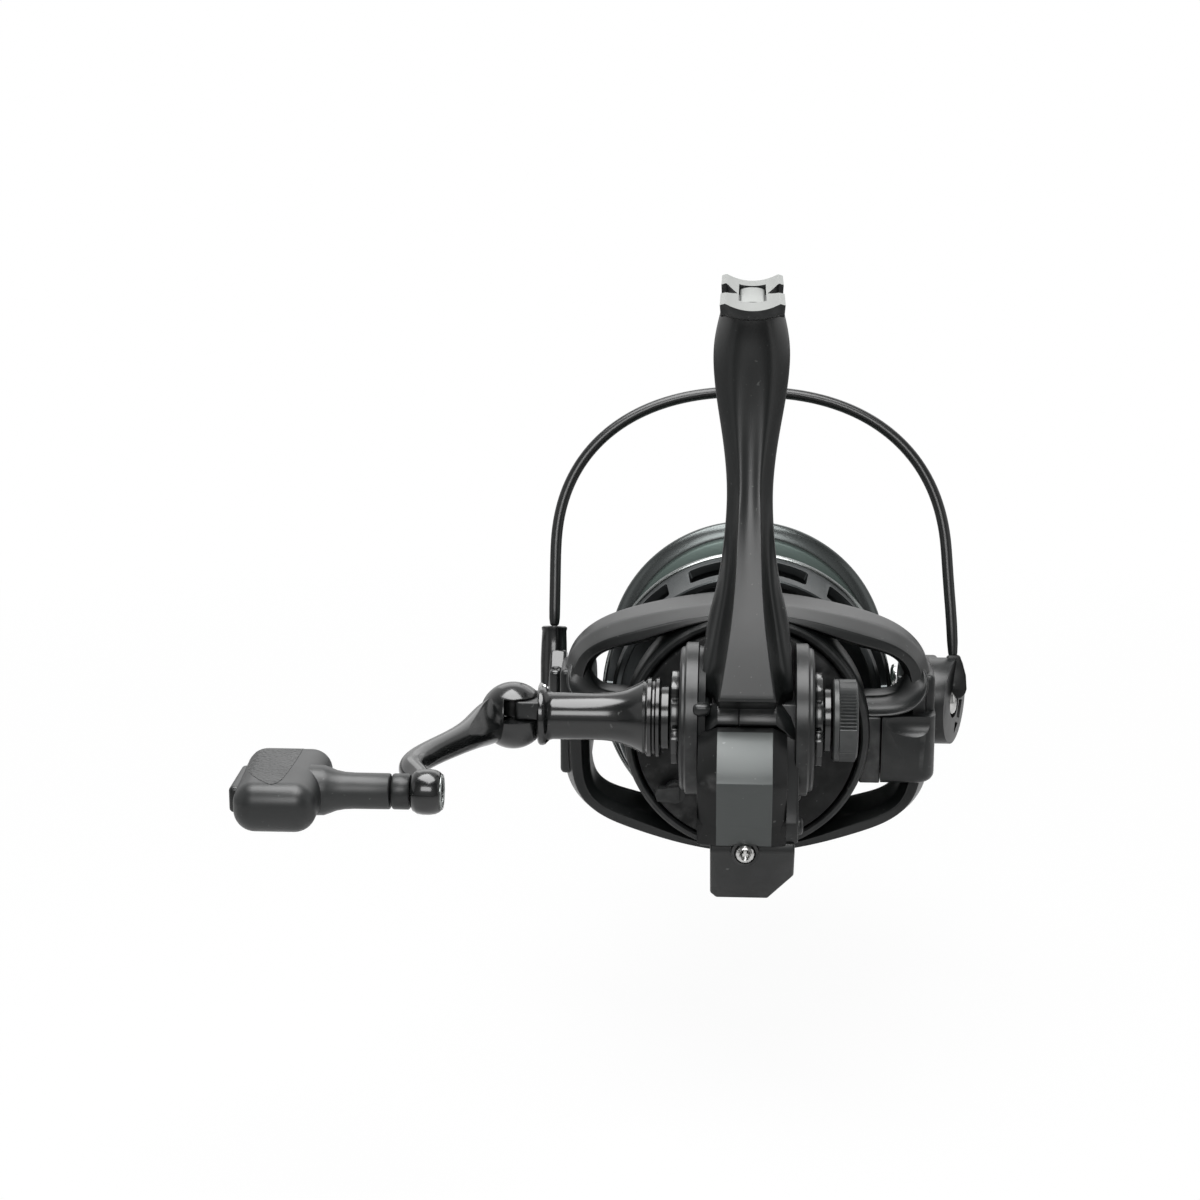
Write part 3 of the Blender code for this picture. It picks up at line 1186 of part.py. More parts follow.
def make_knob():
    """The T knob on its bolt, with a collar towards the arm and a cap over the bolt's end."""
    collar_end = -EYE_HALF - GAP - KNOB_COLLAR_LENGTH
    neck_end = collar_end - RUN - KNOB_NECK
    outer = neck_end - KNOB_DEPTH
    head = EYE_HALF + GAP
    bolt_end = outer + BOLT_COVER
    bolt = [
        (head + BOLT_HEAD, 0),
        (head + BOLT_HEAD, BOLT_HEAD_R - GAP),
        (head, BOLT_HEAD_R),
        (head, KNOB_BOLT_R),
        (bolt_end, KNOB_BOLT_R),
        (bolt_end, 0),
    ]
    turned("knob_bolt", KNOB, "X", bolt, STEEL)
    collar = (KNOB_BOLT_R + GAP, KNOB_COLLAR_R)
    washer("knob_collar", KNOB, "X", collar_end, -EYE_HALF - GAP, *collar, PLASTIC)
    low = (outer, -KNOB_SPAN / 2, -KNOB_THICK / 2)
    high = (neck_end, KNOB_SPAN / 2, KNOB_THICK / 2)
    grip = block("knob_grip", KNOB, low, high, RUBBER, KNOB_EDGE_R, 3)
    neck = [
        (neck_end - KNOB_NECK * 0.2, 0),
        (neck_end - KNOB_NECK * 0.2, KNOB_COLLAR_R * 1.3),
        (neck_end + KNOB_NECK * 0.15, KNOB_COLLAR_R * 1.1),
        (neck_end + KNOB_NECK * 0.3, KNOB_COLLAR_R),
        (collar_end - RUN, KNOB_COLLAR_R),
        (collar_end - RUN, 0),
    ]
    join(grip, turned("neck", KNOB, "X", neck, RUBBER, MIDDLE_STEPS))
    ends = (bolt_end - 2 * SINK, collar_end + SINK)
    bolt_bore = rod("knob_bore", KNOB, "X", *ends, KNOB_BOLT_R + RUN, RUBBER)
    floor = outer + KNOB_CAP_DEPTH
    half_y, half_z = KNOB_CAP_SPAN / 2, KNOB_CAP_THICK / 2
    cap_room = block("cap_room", KNOB, (outer - SINK, -half_y, -half_z), (floor, half_y, half_z), RUBBER)
    nut_room = rod("nut_room", KNOB, "X", floor - 2 * SINK, bolt_end + 2 * SINK, 2 * KNOB_BOLT_R, RUBBER)
    cut(grip, bolt_bore, cap_room, nut_room)
    cap_low = (outer + GAP, GAP - half_y, GAP - half_z)
    cap_high = (floor - GAP, half_y - GAP, half_z - GAP)
    block("knob_cap", KNOB, cap_low, cap_high, PLASTIC, SINK)


def make_screw_cap():
    """The knurled cap that closes the crank's other end, with the collar under it."""
    start = BOSS_FACE_X + CAP_START
    low = BOSS_FACE_X + SHANK_START
    radii = (CRANK_SHAFT_R + GAP, COLLAR_R)
    washer("cap_collar", CRANK, "X", low, start - GAP, *radii, GLOSS_BLACK, MIDDLE_STEPS)
    end = start + CAP_LENGTH
    ribs = CAP_R - CAP_STEP
    profile = [
        (start, 0),
        (start, CAP_R),
        (start + 3 * CAP_STEP, CAP_R),
        (start + 4 * CAP_STEP, ribs),
        (end - 2 * CAP_STEP, ribs),
        (end, ribs - 2 * CAP_STEP),
        (end, CAP_R - 8 * CAP_STEP),
        (end - 2 * CAP_STEP, CAP_R - 9 * CAP_STEP),
        (end - 2 * CAP_STEP, 0),
    ]
    turned("screw_cap", CRANK, "X", profile, PLASTIC, MIDDLE_STEPS + 4)


def make_handle():
    """Shank, folding arm, T knob and the screw cap on the other side."""
    make_shank()
    make_handle_arm()
    make_knob()
    make_screw_cap()


def mirrored(quarter):
    """A whole outline from its upper right quarter, clockwise from the top."""
    right = quarter + [(x, -z) for x, z in reversed(quarter)]
    return right + [(-x, z) for x, z in reversed(right[1:-1])]


def rotor_outline(inset):
    """The rotor from behind: a flattened hexagon that holds both arms."""
    quarter = [
        (0, ROTOR_HALF_HEIGHT),
        (RIM_R * 0.34, ROTOR_HALF_HEIGHT * 0.971),
        (RIM_R * 0.983, ROTOR_HALF_HEIGHT * 0.835),
        (POST_OUTER_X * 0.819, ROTOR_HALF_HEIGHT * 0.717),
        (POST_OUTER_X * 0.917, ROTOR_HALF_HEIGHT * 0.622),
        (POST_OUTER_X * 0.978, ROTOR_HALF_HEIGHT * 0.381),
        (POST_OUTER_X * 0.987, ROTOR_HALF_HEIGHT * 0.127),
    ]
    return mirrored([(x - inset * x / POST_OUTER_X, z - inset) for x, z in quarter])


def window_outline(side):
    """The opening between two legs, the cup and an arm, on the side +1 or -1."""
    corners = [
        (RIM_R * 0.814, ROTOR_HALF_HEIGHT * 0.61),
        (POST_INNER_X * 0.79, ROTOR_HALF_HEIGHT * 0.559),
        (POST_INNER_X * 0.92, ROTOR_HALF_HEIGHT * 0.489),
        (POST_INNER_X * 0.995, ROTOR_HALF_HEIGHT * 0.349),
        (POST_INNER_X, ROTOR_HALF_HEIGHT * 0.159),
    ]
    return [(side * x, z) for x, z in corners + [(x, -z) for x, z in reversed(corners)]]


def post_outline():
    """A rotor arm from the side: broad at the legs, round about the bail pivot."""
    tip = list(arc((BAIL_Y, BAIL_Z), POST_R, 62, -62, 8))
    rear = LEG_SLOPE_Y - 2 * SINK
    front = (ROTOR_DEPTH, -POST_TOP)
    return [(rear, POST_TOP), (ROTOR_DEPTH, POST_TOP - 2 * SINK), *tip, front, (rear, -POST_TOP)]


def make_rotor():
    """Open rotor: rear cup, four legs, two arms and the cover over the bail spring."""
    past = 2 * SINK  # how far cutters run out of the casting
    stations = ((0, 2.4 * MM), (LEG_SLOPE_Y, 0.6 * MM), (LEG_SLOPE_Y + 2 * past, 0), (ROTOR_DEPTH, 0))
    rings = []
    for y, inset in stations:
        rings.append([(x, y, z) for x, z in rotor_outline(inset)])
    rotor = loft("rotor_frame", REEL, rings, PLASTIC)
    through = (-past, ROTOR_DEPTH + past)
    cutters = []
    for side in (-1, 1):
        name = f"rotor_window_{side}"
        cutters.append(plate(name, REEL, "Y", [window_outline(side)], *through, PLASTIC))
        far = side * (POST_OUTER_X + 4 * past)
        slope = [(side * (RIM_R + SINK), -past), (far, -past), (far, LEG_SLOPE_Y + 2 * past)]
        high = ROTOR_HALF_HEIGHT + 8 * past
        cutters.append(plate(f"leg_slope_{side}", REEL, "Z", [slope], -high, high, PLASTIC))
    cutters.append(rod("cup_hole", REEL, "Y", *through, RIM_R - 2 * SINK, PLASTIC, LARGE_STEPS))
    cut(rotor, *cutters)
    join(rotor)
    posts = []
    for side in (-1, 1):
        low, high = sorted((side * POST_INNER_X, side * POST_OUTER_X))
        posts.append(plate(f"post_{side}", REEL, "X", [post_outline()], low, high, PLASTIC))
    join(rotor, turned("cup", REEL, "Y", cup_profile(), PLASTIC, LARGE_STEPS + 4), *posts)
    cover_low = (POST_OUTER_X - COVER_DEPTH_X, COVER_REAR_Y, COVER_LOW_Z)
    cover_high = (POST_OUTER_X, ROTOR_DEPTH - past, COVER_TOP_Z)
    room_low = [value - GAP for value in cover_low]
    room_high = [value + GAP for value in cover_high]
    room = block("cover_room", REEL, room_low, room_high, PLASTIC)
    cut(rotor, room, *make_pivots())
    block("arm_cover", REEL, cover_low, cover_high, PLASTIC, COVER_EDGE_R, 2)
    make_rotor_nut()


def cup_profile():
    """The rotor's rear cup with the web that sits on the pinion's sleeve."""
    web = ROTOR_WEB_Y + ROTOR_WEB
    hub = SLEEVE_R + GAP
    return [
        (SINK, RIM_INNER_R),
        (0, RIM_INNER_R + 2 * GAP),
        (0, RIM_R - GAP),
        (2 * GAP, RIM_R),
        (web + ROTOR_WEB, RIM_R),
        (web, RIM_R - 1.5 * ROTOR_WEB),
        (web, hub),
        (ROTOR_WEB_Y, hub),
        (ROTOR_WEB_Y, RIM_INNER_R),
    ]


def make_pivots():
    """The bail's two pivot screws, and the holes for them in the rotor's arms."""
    holes = []
    end = POST_OUTER_X - PIVOT_DEPTH
    head = POST_OUTER_X + 2 * GAP + LEVER_THICK + RUN
    screw = [
        (head + PIVOT_HEAD, 0),
        (head + PIVOT_HEAD - GAP, PIVOT_HEAD_R * 0.85),
        (head, PIVOT_HEAD_R),
        (head, PIVOT_R),
        (end, PIVOT_R),
        (end, 0),
    ]
    for side, word in ((-1, "left"), (1, "right")):
        low, high = sorted((side * (end - SINK), side * (POST_OUTER_X + SINK)))
        holes.append(rod(f"pivot_hole_{word}", BAIL, "X", low, high, PIVOT_R + GAP, PLASTIC, TINY_STEPS))
        turned(f"bail_pivot_screw_{word}", BAIL, "X", [(side * x, r) for x, r in screw], STEEL, 20)
    return holes


def make_rotor_nut():
    """The hexagon nut that holds the rotor on the pinion's sleeve."""
    low = ROTOR_WEB_Y + ROTOR_WEB + GAP
    corners = list(arc((0, 0), NUT_R, 0, 300, 5))
    bore = list(arc((0, 0), SLEEVE_R + GAP, 0, 345, 15))
    plate("rotor_nut", REEL, "Y", [corners, bore], low, low + NUT_LENGTH, STEEL)


def bail_point(x, reach):
    """A place on the closed bail's own plane."""
    return (x, reach * math.cos(BAIL_ANGLE), reach * math.sin(BAIL_ANGLE))


def make_lever(inner, outer):
    """The small lever on the left, with the socket that holds the wire's end."""
    way = Vector((math.cos(BAIL_ANGLE), math.sin(BAIL_ANGLE)))
    across = Vector((way.y, -way.x)) * LEVER_NECK
    neck = way * (SOCKET_LOW + SOCKET_TOP) * 0.43
    first = math.degrees(BAIL_ANGLE) + 65
    outline = [tuple(neck + across), tuple(neck - across), *arc((0, 0), LEVER_R, first, first + 230, 14)]
    lever = plate("bail_lever", BAIL, "X", [outline], -outer, -inner, PLASTIC)
    ends = [bail_point(-BAIL_HALF_WIDTH, reach) for reach in (SOCKET_LOW, SOCKET_TOP)]
    join(lever, tube("socket", BAIL, ends, SOCKET_R, PLASTIC))
    cut(lever, rod("lever_hole", BAIL, "X", -outer - SINK, -inner + SINK, PIVOT_R + RUN, PLASTIC))


def make_arm(inner, outer):
    """The bail arm on the right, from the pivot to the roller, with the wire's holder."""
    disc = arc((0, 0), ARM_R, 55, 300, 14)
    nose = arc((ROLLER_REACH, 0), NOSE_R, -70, 80, 8)
    arm = plate("bail_arm", BAIL, "X", [[*disc, *nose]], inner, outer, PLASTIC)
    right = BAIL_HALF_WIDTH + HOLDER_OUT
    ends = [bail_point(right - HOLDER_LEAN, HOLDER_LOW), bail_point(right, HOLDER_TOP)]
    join(arm, tube("holder", BAIL, ends, HOLDER_R, PLASTIC, (1.05, 0.8)))
    head_end = outer + 4 * PIVOT_HEAD
    holes = [
        rod("arm_hole", BAIL, "X", inner - SINK, outer + SINK, PIVOT_R + RUN, PLASTIC, SMALL_STEPS),
        rod("axle_hole", ROLLER, "X", inner - SINK, outer - AXLE_WALL, AXLE_R + GAP, PLASTIC, TINY_STEPS),
        rod("head_room", BAIL, "X", outer, head_end, PIVOT_HEAD_R + 2 * RUN, PLASTIC, 20),
    ]
    cut(arm, *holes)


def make_wire():
    """The wire bow: a superellipse over its shoulders that leans out to the holder on the right."""
    points = [bail_point(-BAIL_HALF_WIDTH, SOCKET_TOP + GAP)]
    rise = BAIL_REACH - BAIL_SHOULDER
    power = 2 / BAIL_POWER
    for index in range(WIRE_STEPS + 1):
        angle = math.pi - math.pi * index / WIRE_STEPS
        x = BAIL_HALF_WIDTH * math.copysign(abs(math.cos(angle)) ** power, math.cos(angle))
        reach = BAIL_SHOULDER + rise * math.sin(angle) ** power
        if x > 0:
            x += HOLDER_OUT * max(0, 1 - (reach - HOLDER_TOP) / (BAIL_REACH - HOLDER_TOP)) ** 2
        points.append(bail_point(x, reach))
    points.append(bail_point(BAIL_HALF_WIDTH + HOLDER_OUT, HOLDER_TOP + 2 * GAP))
    tube("bail_wire", BAIL, points, WIRE_R, SATIN_BLACK, None, 2)


def make_roller(inner, outer):
    """The line roller on its axle screw, inside the bail arm."""
    end = inner - RUN
    start = end - ROLLER_LENGTH
    groove = ROLLER_R - ROLLER_GROOVE
    lip = ROLLER_LENGTH * 0.14
    ring = [
        (start, AXLE_R + RUN),
        (start, ROLLER_R),
        (start + lip, ROLLER_R),
        (start + 2.5 * lip, groove),
        (end - 3 * lip, groove),
        (end - lip, ROLLER_R),
        (end, ROLLER_R),
        (end, AXLE_R + RUN),
    ]
    turned("line_roller", ROLLER, "X", ring, STEEL, MIDDLE_STEPS)
    head = start - RUN
    crown = head - AXLE_HEAD
    tip = outer - AXLE_WALL - GAP
    screw = [
        (crown, 0),
        (crown + GAP, AXLE_HEAD_R * 0.88),
        (head, AXLE_HEAD_R),
        (head, AXLE_R),
        (tip, AXLE_R),
        (tip, 0),
    ]
    turned("roller_screw", ROLLER, "X", screw, STEEL, SMALL_STEPS)


def make_bail():
    """Wire bail between its two levers, with the line roller on the right one."""
    inner = POST_OUTER_X + GAP
    outer = inner + LEVER_THICK
    make_lever(inner, outer)
    make_arm(inner, outer)
    make_wire()
    make_roller(inner, outer)


def make_switch():
    """The small anti-reverse lever on the flange, beside the left boss."""
    rear = FLANGE_REAR - GAP
    hub = rod("anti_reverse_lever", SWITCH, "Y", rear - SWITCH_HEIGHT, rear, SWITCH_R, PLASTIC)
    near, far = SWITCH_R * 0.4, -SWITCH_TAB
    outline = [
        (near, SWITCH_R * 0.7),
        (far * 0.88, SWITCH_R * 0.46),
        (far, 0),
        (far * 0.88, -SWITCH_R * 0.7),
        (near, -SWITCH_R * 0.77),
    ]
    low, high = rear - SWITCH_HEIGHT - 2 * SINK, rear - SWITCH_HEIGHT * 0.4
    join(hub, plate("tab", SWITCH, "Y", [outline], low, high, PLASTIC))


hollow = case_hollow()
make_body(hollow)
make_side_cover(hollow)
make_rear_cover()
make_foot_insert()
make_bearings()
make_gears()
make_slide()
make_spool()
make_skirt()
make_drag()
make_handle()
make_rotor()
make_bail()
make_switch()
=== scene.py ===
# %% [markdown]
# # A black spinning reel, seen from behind
# The frame file holds the reel's solids, one object for each piece, and the bodies that move. This
# lesson keeps those places and gives every piece the shape and finish that a studio photograph
# shows. It works in millimetres round the main shaft, because a reel is drawn that way: X to the
# right, Y forward to the spool, Z up to the foot.

# %% Load the frame and find the shaft
import json
import math

import bmesh
import bpy
from mathutils import Matrix, Vector
from mathutils.bvhtree import BVHTree


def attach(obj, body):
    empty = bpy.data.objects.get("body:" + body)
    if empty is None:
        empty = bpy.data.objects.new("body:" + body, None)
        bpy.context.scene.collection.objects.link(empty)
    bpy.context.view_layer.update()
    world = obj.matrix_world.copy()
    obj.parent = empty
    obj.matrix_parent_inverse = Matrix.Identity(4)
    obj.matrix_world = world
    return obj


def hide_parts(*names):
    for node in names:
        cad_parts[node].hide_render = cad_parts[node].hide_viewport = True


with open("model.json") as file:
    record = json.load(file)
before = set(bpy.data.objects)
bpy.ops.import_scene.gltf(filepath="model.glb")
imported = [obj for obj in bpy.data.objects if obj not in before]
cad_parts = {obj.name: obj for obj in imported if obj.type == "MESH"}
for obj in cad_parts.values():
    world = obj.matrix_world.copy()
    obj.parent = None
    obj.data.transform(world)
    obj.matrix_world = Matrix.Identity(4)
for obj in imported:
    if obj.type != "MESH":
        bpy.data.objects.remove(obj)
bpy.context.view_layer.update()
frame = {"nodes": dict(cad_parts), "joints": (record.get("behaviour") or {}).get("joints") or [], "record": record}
joints = {joint["name"]: joint for joint in frame["joints"]}
MM = 0.001
SHAFT = Vector(joints["rotor_spin"]["pos_m"])
TO_WORLD = Matrix.Translation(SHAFT) @ Matrix.Scale(MM, 4)


def shaft_mm(point):
    """A place of the frame in millimetres from the shaft's origin."""
    return (Vector(point) - SHAFT) / MM


CRANK = shaft_mm(joints["crank_spin"]["pos_m"])
FOLD = shaft_mm(joints["handle_fold"]["pos_m"])
PIVOT = shaft_mm(joints["bail_flip"]["pos_m"])
ROLLER = shaft_mm(joints["roller_spin"]["pos_m"])
print("shaft at", [round(v, 4) for v in SHAFT], "nodes", len(frame["nodes"]))

# %% [markdown]
# ## Camera
# The photograph was taken with a longish lens from behind, about 14 degrees above the shaft. A
# camera is placed by its own position and two angles, with no shift, so every other view keeps it.

# %% Camera at the photograph's angle
LENS = 78.0
CAMERA_AT = (-1.7, -601.4, 184.6)
CAMERA_PITCH = 75.9
CAMERA_YAW = 3.2

camera_data = bpy.data.cameras.new("camera")
camera_data.lens = LENS
camera_data.sensor_width = 36.0
camera = bpy.data.objects.new("camera", camera_data)
camera.location = TO_WORLD @ Vector(CAMERA_AT)
camera.rotation_euler = (math.radians(CAMERA_PITCH), 0, math.radians(CAMERA_YAW))
bpy.context.scene.collection.objects.link(camera)
bpy.context.scene.camera = camera
bpy.context.scene.view_settings.view_transform = "Standard"
print("camera at", [round(v, 3) for v in camera.location])

# %% [markdown]
# ## Nodes
# Light and finishes are built from shader nodes. A node needs its settings, values on its sockets and
# links from other nodes. One function does all three, so that each node reads as one line.


# %% Node helpers
def feed(tree, socket, source):
    """A number or colour set on the socket, or another node's output linked to it."""
    if isinstance(source, (int, float, tuple)):
        socket.default_value = source
    else:
        tree.links.new(source, socket)


def add(tree, kind, inputs, **settings):
    """A new node with its settings, and a value or a link on each named input."""
    node = tree.nodes.new("ShaderNode" + kind)
    for key, value in settings.items():
        setattr(node, key, value)
    for title, source in inputs.items():
        feed(tree, node.inputs[title], source)
    return node


def mixed(tree, factor, first, second):
    """A colour between two others."""
    return add(tree, "Mix", {"Factor": factor, 6: first, 7: second}, data_type="RGBA").outputs[2]


def ranged(tree, source, low, high, from_low=0.3, from_high=0.7):
    """A value moved from the middle of a noise to the wanted range."""
    limits = {"From Min": from_low, "From Max": from_high, "To Min": low, "To Max": high}
    return add(tree, "MapRange", {"Value": source, **limits}).outputs["Result"]


def noise(tree, vector, scale, detail=4.0):
    """Blender's noise at a size given per metre."""
    return add(tree, "TexNoise", {"Vector": vector, "Scale": scale, "Detail": detail}).outputs["Fac"]


def raised(tree, height, distance, strength, under):
    """The normal of a relief of that depth in millimetres, on top of the one under it."""
    depth = {"Height": height, "Distance": distance * MM, "Strength": strength}
    return add(tree, "Bump", {**depth, **under}).outputs["Normal"]


# %% [markdown]
# ## Studio light
# Black paint is seen by what it reflects. A wide soft box overhead draws the long highlights, one
# above the camera fills the surfaces that face it, and two panels light the flanks. Large boxes at a
# low level are used instead of small bright ones, so that bare metal does not burn out. Behind the
# reel the surroundings are white, as the backdrop is. They are dim at the sides, as a studio is, and
# a pale wall stands behind the camera. The backdrop is pure white only for rays that see it directly
# or through something clear, so the white does not flood the object with light.

# %% Soft boxes
SOFT_BOXES = (
    # name, place, aims at, width, depth, radiance
    ("top_box", (-60, -60, 560), (0, 0, 20), 520, 380, 9.5),
    ("front_box", (-60, -780, 470), (0, 0, 20), 520, 300, 8.0),
    ("left_panel", (-620, -200, 190), (0, 0, 10), 320, 480, 0.6),
    ("right_panel", (640, -120, 170), (0, 0, 10), 320, 480, 0.8),
    ("back_panel", (0, 620, 420), (0, 20, 20), 800, 360, 1.2),
)

for name, place, target, width, depth, radiance in SOFT_BOXES:
    lamp = bpy.data.lights.new(name, "AREA")
    lamp.shape = "RECTANGLE"
    lamp.size = width * MM
    lamp.size_y = depth * MM
    lamp.energy = radiance * math.pi * lamp.size * lamp.size_y
    holder = bpy.data.objects.new(name, lamp)
    holder.location = TO_WORLD @ Vector(place)
    aim = (Vector(target) - Vector(place)).normalized()
    holder.rotation_euler = aim.to_track_quat("-Z", "Y").to_euler()
    bpy.context.scene.collection.objects.link(holder)
    print(name, round(lamp.energy, 2), "W")

# %% Surroundings
ROOM_FOR_DIFFUSE = 0.15
ROOM_FOR_GLOSSY = 0.9
GREY_AROUND = ((0.02, 0.55), (0.35, 0.10), (0.75, 1))  # from behind the camera to ahead of it

world = bpy.data.worlds.new("studio")
bpy.context.scene.world = world
world.use_nodes = True
sky = world.node_tree
sky.nodes.clear()
sky_axes = add(sky, "SeparateXYZ", {0: add(sky, "TexCoord", {}).outputs["Generated"]})
sky_half = add(sky, "MapRange", {"Value": sky_axes.outputs["Y"], "From Min": -1})
sky_ramp = add(sky, "ValToRGB", {"Fac": sky_half.outputs["Result"]})
stops = sky_ramp.color_ramp.elements
stops.new(GREY_AROUND[1][0])
for stop, (place, grey) in zip(stops, GREY_AROUND):
    stop.position = place
    stop.color = (grey, grey, grey, 1)
sky_ray = add(sky, "LightPath", {})
sky_level = ranged(sky, sky_ray.outputs["Is Glossy Ray"], ROOM_FOR_DIFFUSE, ROOM_FOR_GLOSSY, 0, 1)
sky_room = add(sky, "Background", {"Color": sky_ramp.outputs["Color"], "Strength": sky_level})
sky_seen = add(sky, "Background", {"Color": (1, 1, 1, 1)})
direct = {0: sky_ray.outputs["Is Camera Ray"], 1: sky_ray.outputs["Is Transmission Ray"]}
sky_clear = add(sky, "Math", direct, operation="MAXIMUM").outputs[0]
sky_mix = add(sky, "MixShader", {"Fac": sky_clear, 1: sky_room.outputs[0], 2: sky_seen.outputs[0]})
add(sky, "OutputWorld", {"Surface": sky_mix.outputs[0]})
print("surroundings", len(sky.nodes), "nodes")

# %% [markdown]
# The floor is a sheet of pale paper under the handle's sweep. It turns pure white towards its far
# edge, so that no horizon shows, and keeps a faint shadow near the reel.

# %% Floor
FLOOR_DROP = 78.0  # under the shaft line
FLOOR_HALF = 3000.0
WHITE_NEAR, WHITE_FAR = 0.95, 1.0

floor_bm = bmesh.new()
bmesh.ops.create_grid(floor_bm, x_segments=1, y_segments=1, size=FLOOR_HALF)
bmesh.ops.translate(floor_bm, vec=(0, 0, -FLOOR_DROP), verts=floor_bm.verts)
bmesh.ops.transform(floor_bm, matrix=TO_WORLD, verts=floor_bm.verts)
floor_mesh = bpy.data.meshes.new("floor")
floor_bm.to_mesh(floor_mesh)
floor_bm.free()
floor = bpy.data.objects.new("floor", floor_mesh)
bpy.context.scene.collection.objects.link(floor)

paper = bpy.data.materials.new("studio_paper")
paper.use_nodes = True
tree = paper.node_tree
paper_shader = tree.nodes["Principled BSDF"]
paper_shader.inputs["Base Color"].default_value = (0.62, 0.62, 0.62, 1)
paper_shader.inputs["Roughness"].default_value = 0.9
paper_place = add(tree, "TexCoord", {}).outputs["Object"]
paper_reach = add(tree, "VectorMath", {0: paper_place}, operation="LENGTH")
paper_share = ranged(tree, paper_reach.outputs["Value"], WHITE_NEAR, WHITE_FAR, 0.15, 0.6)
paper_ray = add(tree, "LightPath", {})
seen = {0: paper_share, 1: paper_ray.outputs["Is Camera Ray"]}
paper_seen = add(tree, "Math", seen, operation="MULTIPLY").outputs[0]
paper_glow = add(tree, "Emission", {})
layers = {"Fac": paper_seen, 1: paper_shader.outputs[0], 2: paper_glow.outputs[0]}
paper_mix = add(tree, "MixShader", layers)
tree.links.new(paper_mix.outputs[0], tree.nodes["Material Output"].inputs["Surface"])
floor_mesh.materials.append(paper)
print("floor", FLOOR_DROP, "mm under the shaft")

# %% [markdown]
# ## Surface effects shared by the finishes
# Most finishes differ only in scale and strength, so what they share is built once as node groups: a
# skin with fine grain, cloudy variation and specks of dust, lathe lines along the shaft, and rubbed
# edges. A group gives out colours, values and heights only. The shader itself stays in each material.

# %% Groups with named sockets
COLOUR, VALUE, VECTOR = "NodeSocketColor", "NodeSocketFloat", "NodeSocketVector"


def new_group(name, inputs, outputs):
    """A shader group with named sockets, and its two end nodes."""
    group = bpy.data.node_groups.new(name, "ShaderNodeTree")
    for title, kind, value in inputs:
        socket = group.interface.new_socket(title, in_out="INPUT", socket_type=kind)
        if value is not None:
            socket.default_value = value
    for title, kind in outputs:
        group.interface.new_socket(title, in_out="OUTPUT", socket_type=kind)
    return group, group.nodes.new("NodeGroupInput"), group.nodes.new("NodeGroupOutput")


# %% Skin, lathe lines and rubbed edges
LINT = (0.30, 0.31, 0.30, 1)
CLOUDS_PER_METRE = 55.0
SPECKS_PER_METRE = 900.0

skin_group, skin_in, skin_out = new_group(
    "painted_skin",
    [
        ("Vector", VECTOR, None),
        ("Colour", COLOUR, (0.03, 0.03, 0.03, 1)),
        ("Cloud", COLOUR, (0.04, 0.04, 0.04, 1)),
        ("Roughness Low", VALUE, 0.3),
        ("Roughness High", VALUE, 0.45),
        ("Grain Scale", VALUE, 3000.0),
        ("Dust", VALUE, 0.1),
    ],
    [("Colour", COLOUR), ("Roughness", VALUE), ("Height", VALUE)],
)
skin_place = skin_in.outputs["Vector"]
cloud = noise(skin_group, skin_place, CLOUDS_PER_METRE)
grain = noise(skin_group, skin_place, skin_in.outputs["Grain Scale"], 2.0)
clouded = mixed(skin_group, cloud, skin_in.outputs["Colour"], skin_in.outputs["Cloud"])
specks = noise(skin_group, skin_place, SPECKS_PER_METRE, 1.0)
speck = ranged(skin_group, specks, 0.0, skin_in.outputs["Dust"], 0.74, 0.8)
dusty = mixed(skin_group, speck, clouded, LINT)
rough = ranged(skin_group, cloud, skin_in.outputs["Roughness Low"], skin_in.outputs["Roughness High"])
for source, title in ((dusty, "Colour"), (rough, "Roughness"), (grain, "Height")):
    skin_group.links.new(source, skin_out.inputs[title])

lathe_group, lathe_in, lathe_out = new_group(
    "lathe_lines",
    [("Vector", VECTOR, None), ("Pitch", VALUE, 2600.0)],
    [("Height", VALUE)],
)
turning = {"Vector": lathe_in.outputs["Vector"], "Scale": lathe_in.outputs["Pitch"], "Distortion": 0.4}
lathe_wave = add(lathe_group, "TexWave", turning, wave_type="BANDS", bands_direction="Y")
lathe_group.links.new(lathe_wave.outputs["Fac"], lathe_out.inputs["Height"])

rub_group, rub_in, rub_out = new_group(
    "rubbed_edges",
    [("Vector", VECTOR, None), ("Amount", VALUE, 0.3)],
    [("Mask", VALUE)],
)
rub_point = add(rub_group, "NewGeometry", {}).outputs["Pointiness"]
rub_edge = ranged(rub_group, rub_point, 0.0, 1.0, 0.52, 0.62)
rub_noise = noise(rub_group, rub_in.outputs["Vector"], 260.0)
rub_patch = ranged(rub_group, rub_noise, 0.0, rub_in.outputs["Amount"], 0.42, 0.66)
rub_mask = add(rub_group, "Math", {0: rub_edge, 1: rub_patch}, operation="MULTIPLY", use_clamp=True)
rub_group.links.new(rub_mask.outputs[0], rub_out.inputs["Mask"])
print("groups", [group.name for group in bpy.data.node_groups])

# %% [markdown]
# ## Finishes
# The real reel has about a dozen: satin paint on the casting, gloss paint on the handle, moulded
# nylon, a gunmetal panel, anodised and bare aluminium, bright steel, bronze, rubber and felt. One
# function lays the shared skin, edges and relief under a Principled shader, and each finish states
# its own colour, gloss and grain. The blacks lean a little to green, as the photograph does.


